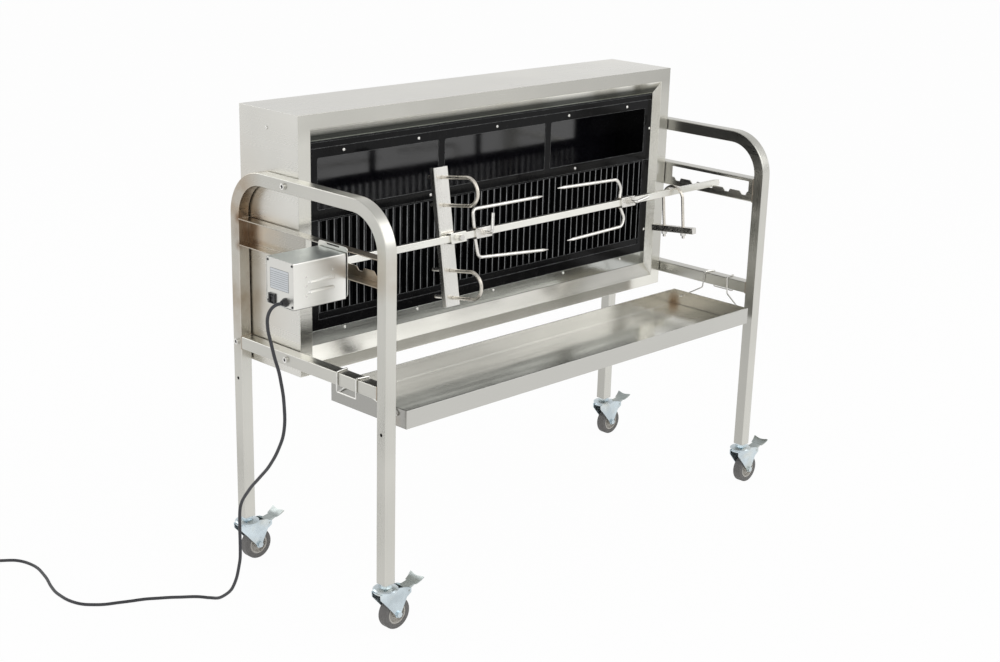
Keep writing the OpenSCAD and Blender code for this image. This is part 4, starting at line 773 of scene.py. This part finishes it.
PAN_HEAD = ((4.0, 0.0), (4.0, 0.7), (3.6, 1.6), (2.8, 2.2), (1.7, 2.5), (1.5, 2.45), (0.9, 1.3),
            (0.1, 1.2))
DOME_RIVET = ((2.6, 0.0), (2.6, 0.2), (2.3, 0.7), (1.6, 1.1), (0.7, 1.3), (0.1, 1.32))
SMALL_RIVET = ((1.8, 0.0), (1.7, 0.3), (1.2, 0.8), (0.1, 0.95))
SMALL_HEAD = ((2.7, 0.0), (2.7, 0.6), (2.3, 1.2), (1.5, 1.5), (1.2, 1.45), (0.7, 0.8), (0.1, 0.75))
RING_HEAD = ((7.2, 0.0), (7.2, 0.8), (6.7, 1.4), (4.6, 1.5), (4.0, 1.1), (3.9, 0.3), (0.1, 0.3))
SOCKET_FLOOR = ((3.6, 0.3), (3.6, 0.45), (0.1, 0.45))
KNOB = ((5.2, 0.0), (5.2, 1.0), (3.6, 1.4), (3.4, 3.4), (4.9, 4.0), (5.0, 5.6), (4.2, 6.4),
        (0.1, 6.5))

FRONT = Vector(FRONT_SIDE)
LEFT = Vector(LEFT_SIDE)
HEAD_TURN = 0.7
CORNER_STEPS = 4

SPIT_Y = -96.6
SPIT_Z = 818.796

BASKET_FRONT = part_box("basket_front")[0].y / MM
STRIP_T = 1.2
SCREW_XS = (-488, -260, 0, 260, 488)
STRIP_SCREW_Z = 600
TOP_SCREW_Z = 1015
MIDDLE_SCREWS = ((-220, 875), (291, 875))
SIDE_SCREWS = ((-585, 948), (-585, 669), (585, 948), (585, 669))
CABINET_SCREW = (-635, 168.5, 1067)

COVER_FRONT = -142.6
COVER_RIVET_X = -779
COVER_RIVET_ZS = (816.7, 797.4, 775.9)
COVER_PIN = (-706.8, COVER_FRONT, 822)
END_PLATE_X = -(MOTOR_END - 1)
END_PLATE_Z = 799.3
LABEL_RIM = ((-125.5, 783.5), (-63.5, 828.5), 2, 0.15)
LABEL_FACE = ((-124.2, 784.8), (-64.8, 827.2), 1.5, 0.3)

TRAY_RIVET = (609.8, -57, 506)
BOLT_HEAD_X = 671.5
BOLTS = ((71, 956), (71, 560), (252, 560))


def heads(name, profile, spots, direction, body, look="bright"):
    """One piece with a fastener head at each spot, each turned on from the one before."""
    mesh = bmesh.new()
    for i, spot in enumerate(spots):
        revolve(mesh, profile, aimed(place(*spot), direction, HEAD_TURN * i))
    add_object(name, finished(mesh, name), look, body)


def rounded_plate(name, low, high, radius, thick, look):
    """Thin plate in Y and Z with rounded corners, whose back lies on the motor's end plate."""
    mesh = bmesh.new()
    outline = []
    for cy, cz, first in ((high[0] - radius, high[1] - radius, 0),
                          (low[0] + radius, high[1] - radius, 90),
                          (low[0] + radius, low[1] + radius, 180),
                          (high[0] - radius, low[1] + radius, 270)):
        for k in range(CORNER_STEPS + 1):
            angle = math.radians(first + 90 / CORNER_STEPS * k)
            outline.append((cy + radius * math.cos(angle), cz + radius * math.sin(angle)))
    back = [mesh.verts.new(place(END_PLATE_X, y, z)) for y, z in outline]
    face = [mesh.verts.new(place(END_PLATE_X - thick, y, z)) for y, z in outline]
    mesh.faces.new(back)
    mesh.faces.new(face[::-1])
    for k in range(len(outline)):
        n = (k + 1) % len(outline)
        mesh.faces.new((back[k], back[n], face[n], face[k]))
    add_object(name, finished(mesh, name), look, "frame", smooth=False)


heads("strip_screws", PAN_HEAD, [(x, BASKET_FRONT - STRIP_T, STRIP_SCREW_Z) for x in SCREW_XS],
      FRONT, "frame")
heads("basket_screws", PAN_HEAD, [(x, BASKET_FRONT, z) for x, z in (
    *((x, TOP_SCREW_Z) for x in SCREW_XS), *MIDDLE_SCREWS, *SIDE_SCREWS)], FRONT, "frame")
heads("cabinet_side_screws", PAN_HEAD, [CABINET_SCREW], LEFT, "frame")
heads("cover_rivets", DOME_RIVET, [(COVER_RIVET_X, COVER_FRONT, z) for z in COVER_RIVET_ZS],
      FRONT, "frame")
heads("cover_pins", SMALL_RIVET, [COVER_PIN], FRONT, "frame")
heads("end_plate_screws", SMALL_HEAD,
      [(END_PLATE_X, SPIT_Y + y, END_PLATE_Z + z) for y in (-40, 40) for z in (-44, 44)],
      LEFT, "frame", "plastic")
rounded_plate("label_edge", *LABEL_RIM, "label_edge")
rounded_plate("bare_label", *LABEL_FACE, "label")
heads("tray_rivet", DOME_RIVET, [TRAY_RIVET], LEFT, "tray")
for hand, side, way in (("left", -1, LEFT), ("right", 1, -LEFT)):
    bolt_spots = [(side * BOLT_HEAD_X, y, z) for y, z in BOLTS]
    heads(hand + "_bolt_rings", RING_HEAD, bolt_spots, way, "frame")
    heads(hand + "_bolt_sockets", SOCKET_FLOOR, bolt_spots, way, "frame", "plastic")


# Threads and weld beads, in the source's millimetres

SPIT_TURN = math.radians(-8.9)
CLAMP_TURN = math.radians(-5.9)
SLEEVE_FACE = 12.2
ROD_R = 4.0
THREAD_STEP = 1.25
THREAD_R = 4.25
THREAD_SIDES = 16
BEAD_STEP = 0.9
BEAD_SIDES = 8
BEAD_SEED = Vector((0.31, 0.53, 0.79))

BRACE_X = -320
CLAMP_X = 480
BOW_HALF = 31.75
BOWS = ((107, 56), (-107, 71))
BOW_NUT_END = 20.7
CLAMP_NUT_END = -113.6
CLAMP_LEG_END = -121

LEG_NEAR = 637.3
LEG_FAR = 667.3
WELD_Y = 236.6
RAIL_LOW = 545
RAIL_HIGH = 575
RACK_LOW = 792.7
RACK_HIGH = 854.3
BRACE_WELD = (-331, -299)
FORK_WELDS = (("left_root_beads", -245.6, "left_fork_body"),
              ("right_root_beads", 267, "right_fork_body"))
ROOT_GAP = 0.3


def turned(x, y, z, turn):
    """A place given in the spit's own frame, as it hangs at rest."""
    return (x, SPIT_Y + y * math.cos(turn) - z * math.sin(turn),
            SPIT_Z + y * math.sin(turn) + z * math.cos(turn))


def thread_profile(length):
    """Profile of a threaded rod end, from inside its nut to the chamfered tip."""
    profile = [(ROD_R - 0.1, -0.1)]
    for i in range(int((length - 1) / THREAD_STEP)):
        root = i * THREAD_STEP + 0.1
        profile += [(ROD_R + 0.02, root), (THREAD_R, root + 0.5)]
    return (*profile, (ROD_R - 0.5, length + 0.1), (0.1, length + 0.12))


def threads(name, runs, body):
    """Threads on rod ends. Each run is a start and an end."""
    mesh = bmesh.new()
    for start, end in runs:
        way = Vector(end) - Vector(start)
        revolve(mesh, thread_profile(way.length), aimed(place(*start), way.normalized()),
                THREAD_SIDES)
    add_object(name, finished(mesh, name), "rod", body)


def rippled(radius):
    """Radius of a weld bead, which swells and narrows from ring to ring."""
    def radius_at(i, k, length):
        return radius * MM * (0.9 + 0.16 * math.sin(i * 1.9) + 0.07 * math.sin(i * 0.37 + k))
    return radius_at


def beads(name, runs, radius, body):
    """Weld beads along polylines, as rows of small ripples."""
    mesh = bmesh.new()
    for run in runs:
        points = []
        for a, b in zip(run, run[1:]):
            a, b = Vector(a), Vector(b)
            steps = max(1, round((b - a).length / BEAD_STEP))
            points += [place(*a.lerp(b, k / steps)) for k in range(steps)]
        points.append(place(*run[-1]))
        add_tube(mesh, points, rippled(radius), BEAD_SIDES, BEAD_SEED)
    add_object(name, finished(mesh, name), "weld", body)


def ring_run(x, z, radius, turn):
    """Ring round a fork's root, on the face of its sleeve at the height z."""
    return [turned(x + radius * math.cos(math.radians(a)), radius * math.sin(math.radians(a)), z,
                   turn) for a in range(0, 361, 20)]


bow_legs = [(centre + half, end) for centre, end in BOWS for half in (-BOW_HALF, BOW_HALF)]
threads("bow_threads", [(turned(BRACE_X, BOW_NUT_END, z, SPIT_TURN),
                         turned(BRACE_X, end, z, SPIT_TURN)) for z, end in bow_legs], "brace")
threads("clamp_threads", [(turned(CLAMP_X, y, CLAMP_NUT_END, CLAMP_TURN),
                           turned(CLAMP_X, y, CLAMP_LEG_END, CLAMP_TURN))
                          for y in (-BOW_HALF, BOW_HALF)], "clamp")

rail_runs = []
rack_runs = []
for side in (-1, 1):
    near, far = side * LEG_NEAR, side * LEG_FAR
    for y in (-WELD_Y, WELD_Y):
        rail_runs.append([(near, y, RAIL_LOW), (far, y, RAIL_LOW), (far, y, RAIL_HIGH),
                          (near, y, RAIL_HIGH), (near, y, RAIL_LOW)])
        rack_runs.append([(far, y, RACK_HIGH), (near, y, RACK_HIGH), (near, y, RACK_LOW),
                          (far, y, RACK_LOW)])
beads("rail_beads", rail_runs, 1.3, "frame")
beads("rack_beads", rack_runs, 1.1, "frame")
for name, x, body in FORK_WELDS:
    beads(name, [ring_run(x, z, ROD_R + ROOT_GAP, SPIT_TURN) for z in (-SLEEVE_FACE, SLEEVE_FACE)],
          1.2, body)
beads("brace_beads", [[turned(x, SLEEVE_FACE, z, SPIT_TURN) for x in BRACE_WELD]
                      for z in (-SLEEVE_FACE, SLEEVE_FACE)], 1.1, "brace")
heads("spit_end_knob", KNOB, [((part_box("spit_bar")[1].x - MIDDLE_X) / MM, SPIT_Y, SPIT_Z)],
      -LEFT, "spit", "rod")


# Floor, light and background

FLOOR_Z = -0.0005
FLOOR_HALF = 60.0
FLOOR_GLOW = 0.965
FLOOR_COLOUR = (0.90, 0.90, 0.895)
SKY_FROM = 0.36
SKY_TO = 0.9
SKY_DIM = 0.72
EVEN_LIGHT = 0.72

# Each lamp's name, place, aim, size and power
LAMPS = (
    ("key", (2.2, -3.6, 3.4), (0, 0, 0.6), (4.2, 3.6), 70),
    ("fill", (-3.4, -1.8, 2.8), (0, 0, 0.6), (3.2, 2.6), 30),
    ("rear", (-1.8, 3.4, 2.4), (0, 0, 0.8), (2.8, 1.8), 24))


def camera_like(tree):
    """1 for rays from the camera and for rays that mirrors and glass send on, else 0."""
    path = tree.nodes.new("ShaderNodeLightPath")
    total = path.outputs["Is Camera Ray"]
    for name in ("Is Glossy Ray", "Is Transmission Ray"):
        added = tree.nodes.new("ShaderNodeMath")
        added.operation = "MAXIMUM"
        tree.links.new(total, added.inputs[0])
        tree.links.new(path.outputs[name], added.inputs[1])
        total = added.outputs["Value"]
    return total


def make_floor():
    """Floor that is nearly white to the camera and in mirrors, and dull for all other light."""
    material = bpy.data.materials.new("floor")
    material.use_nodes = True
    tree = material.node_tree
    tree.nodes.clear()
    diffuse = tree.nodes.new("ShaderNodeBsdfDiffuse")
    diffuse.inputs["Color"].default_value = (*FLOOR_COLOUR, 1)
    glow = tree.nodes.new("ShaderNodeEmission")
    glow.inputs["Strength"].default_value = 1.0
    share = tree.nodes.new("ShaderNodeMath")
    share.operation = "MULTIPLY"
    share.inputs[1].default_value = FLOOR_GLOW
    tree.links.new(camera_like(tree), share.inputs[0])
    mix = tree.nodes.new("ShaderNodeMixShader")
    tree.links.new(share.outputs["Value"], mix.inputs["Fac"])
    tree.links.new(diffuse.outputs["BSDF"], mix.inputs[1])
    tree.links.new(glow.outputs["Emission"], mix.inputs[2])
    out = tree.nodes.new("ShaderNodeOutputMaterial")
    tree.links.new(mix.outputs["Shader"], out.inputs["Surface"])
    corners = [(x * FLOOR_HALF, y * FLOOR_HALF, FLOOR_Z)
               for x, y in ((-1, -1), (1, -1), (1, 1), (-1, 1))]
    mesh = bpy.data.meshes.new("floor")
    mesh.from_pydata(corners, [], [(0, 1, 2, 3)])
    mesh.materials.append(material)
    floor = bpy.data.objects.new("floor", mesh)
    bpy.context.scene.collection.objects.link(floor)


def make_world():
    """White round the horizon and greyer overhead, which the metal mirrors; an even light else."""
    world = bpy.data.worlds.new("studio")
    bpy.context.scene.world = world
    world.use_nodes = True
    tree = world.node_tree
    tree.nodes.clear()
    coords = tree.nodes.new("ShaderNodeTexCoord")
    split = tree.nodes.new("ShaderNodeSeparateXYZ")
    tree.links.new(coords.outputs["Generated"], split.inputs[0])
    rise = tree.nodes.new("ShaderNodeMapRange")
    rise.inputs["From Min"].default_value = SKY_FROM
    rise.inputs["From Max"].default_value = SKY_TO
    rise.inputs["To Min"].default_value = 1.0
    rise.inputs["To Max"].default_value = SKY_DIM
    tree.links.new(split.outputs["Z"], rise.inputs["Value"])
    seen = tree.nodes.new("ShaderNodeBackground")
    tree.links.new(rise.outputs["Result"], seen.inputs["Strength"])
    lit = tree.nodes.new("ShaderNodeBackground")
    lit.inputs["Strength"].default_value = EVEN_LIGHT
    mix = tree.nodes.new("ShaderNodeMixShader")
    tree.links.new(camera_like(tree), mix.inputs["Fac"])
    tree.links.new(lit.outputs["Background"], mix.inputs[1])
    tree.links.new(seen.outputs["Background"], mix.inputs[2])
    out = tree.nodes.new("ShaderNodeOutputWorld")
    tree.links.new(mix.outputs["Shader"], out.inputs["Surface"])


def area_lamp(name, at, towards, size, power):
    data = bpy.data.lights.new(name, "AREA")
    data.shape = "RECTANGLE"
    data.size, data.size_y = size
    data.energy = power
    lamp = bpy.data.objects.new(name, data)
    lamp.location = at
    lamp.rotation_mode = "QUATERNION"
    lamp.rotation_quaternion = (Vector(at) - Vector(towards)).to_track_quat("Z", "Y")
    bpy.context.scene.collection.objects.link(lamp)


make_floor()
make_world()
for lamp_row in LAMPS:
    area_lamp(*lamp_row)

bpy.context.scene.view_settings.view_transform = "Standard"
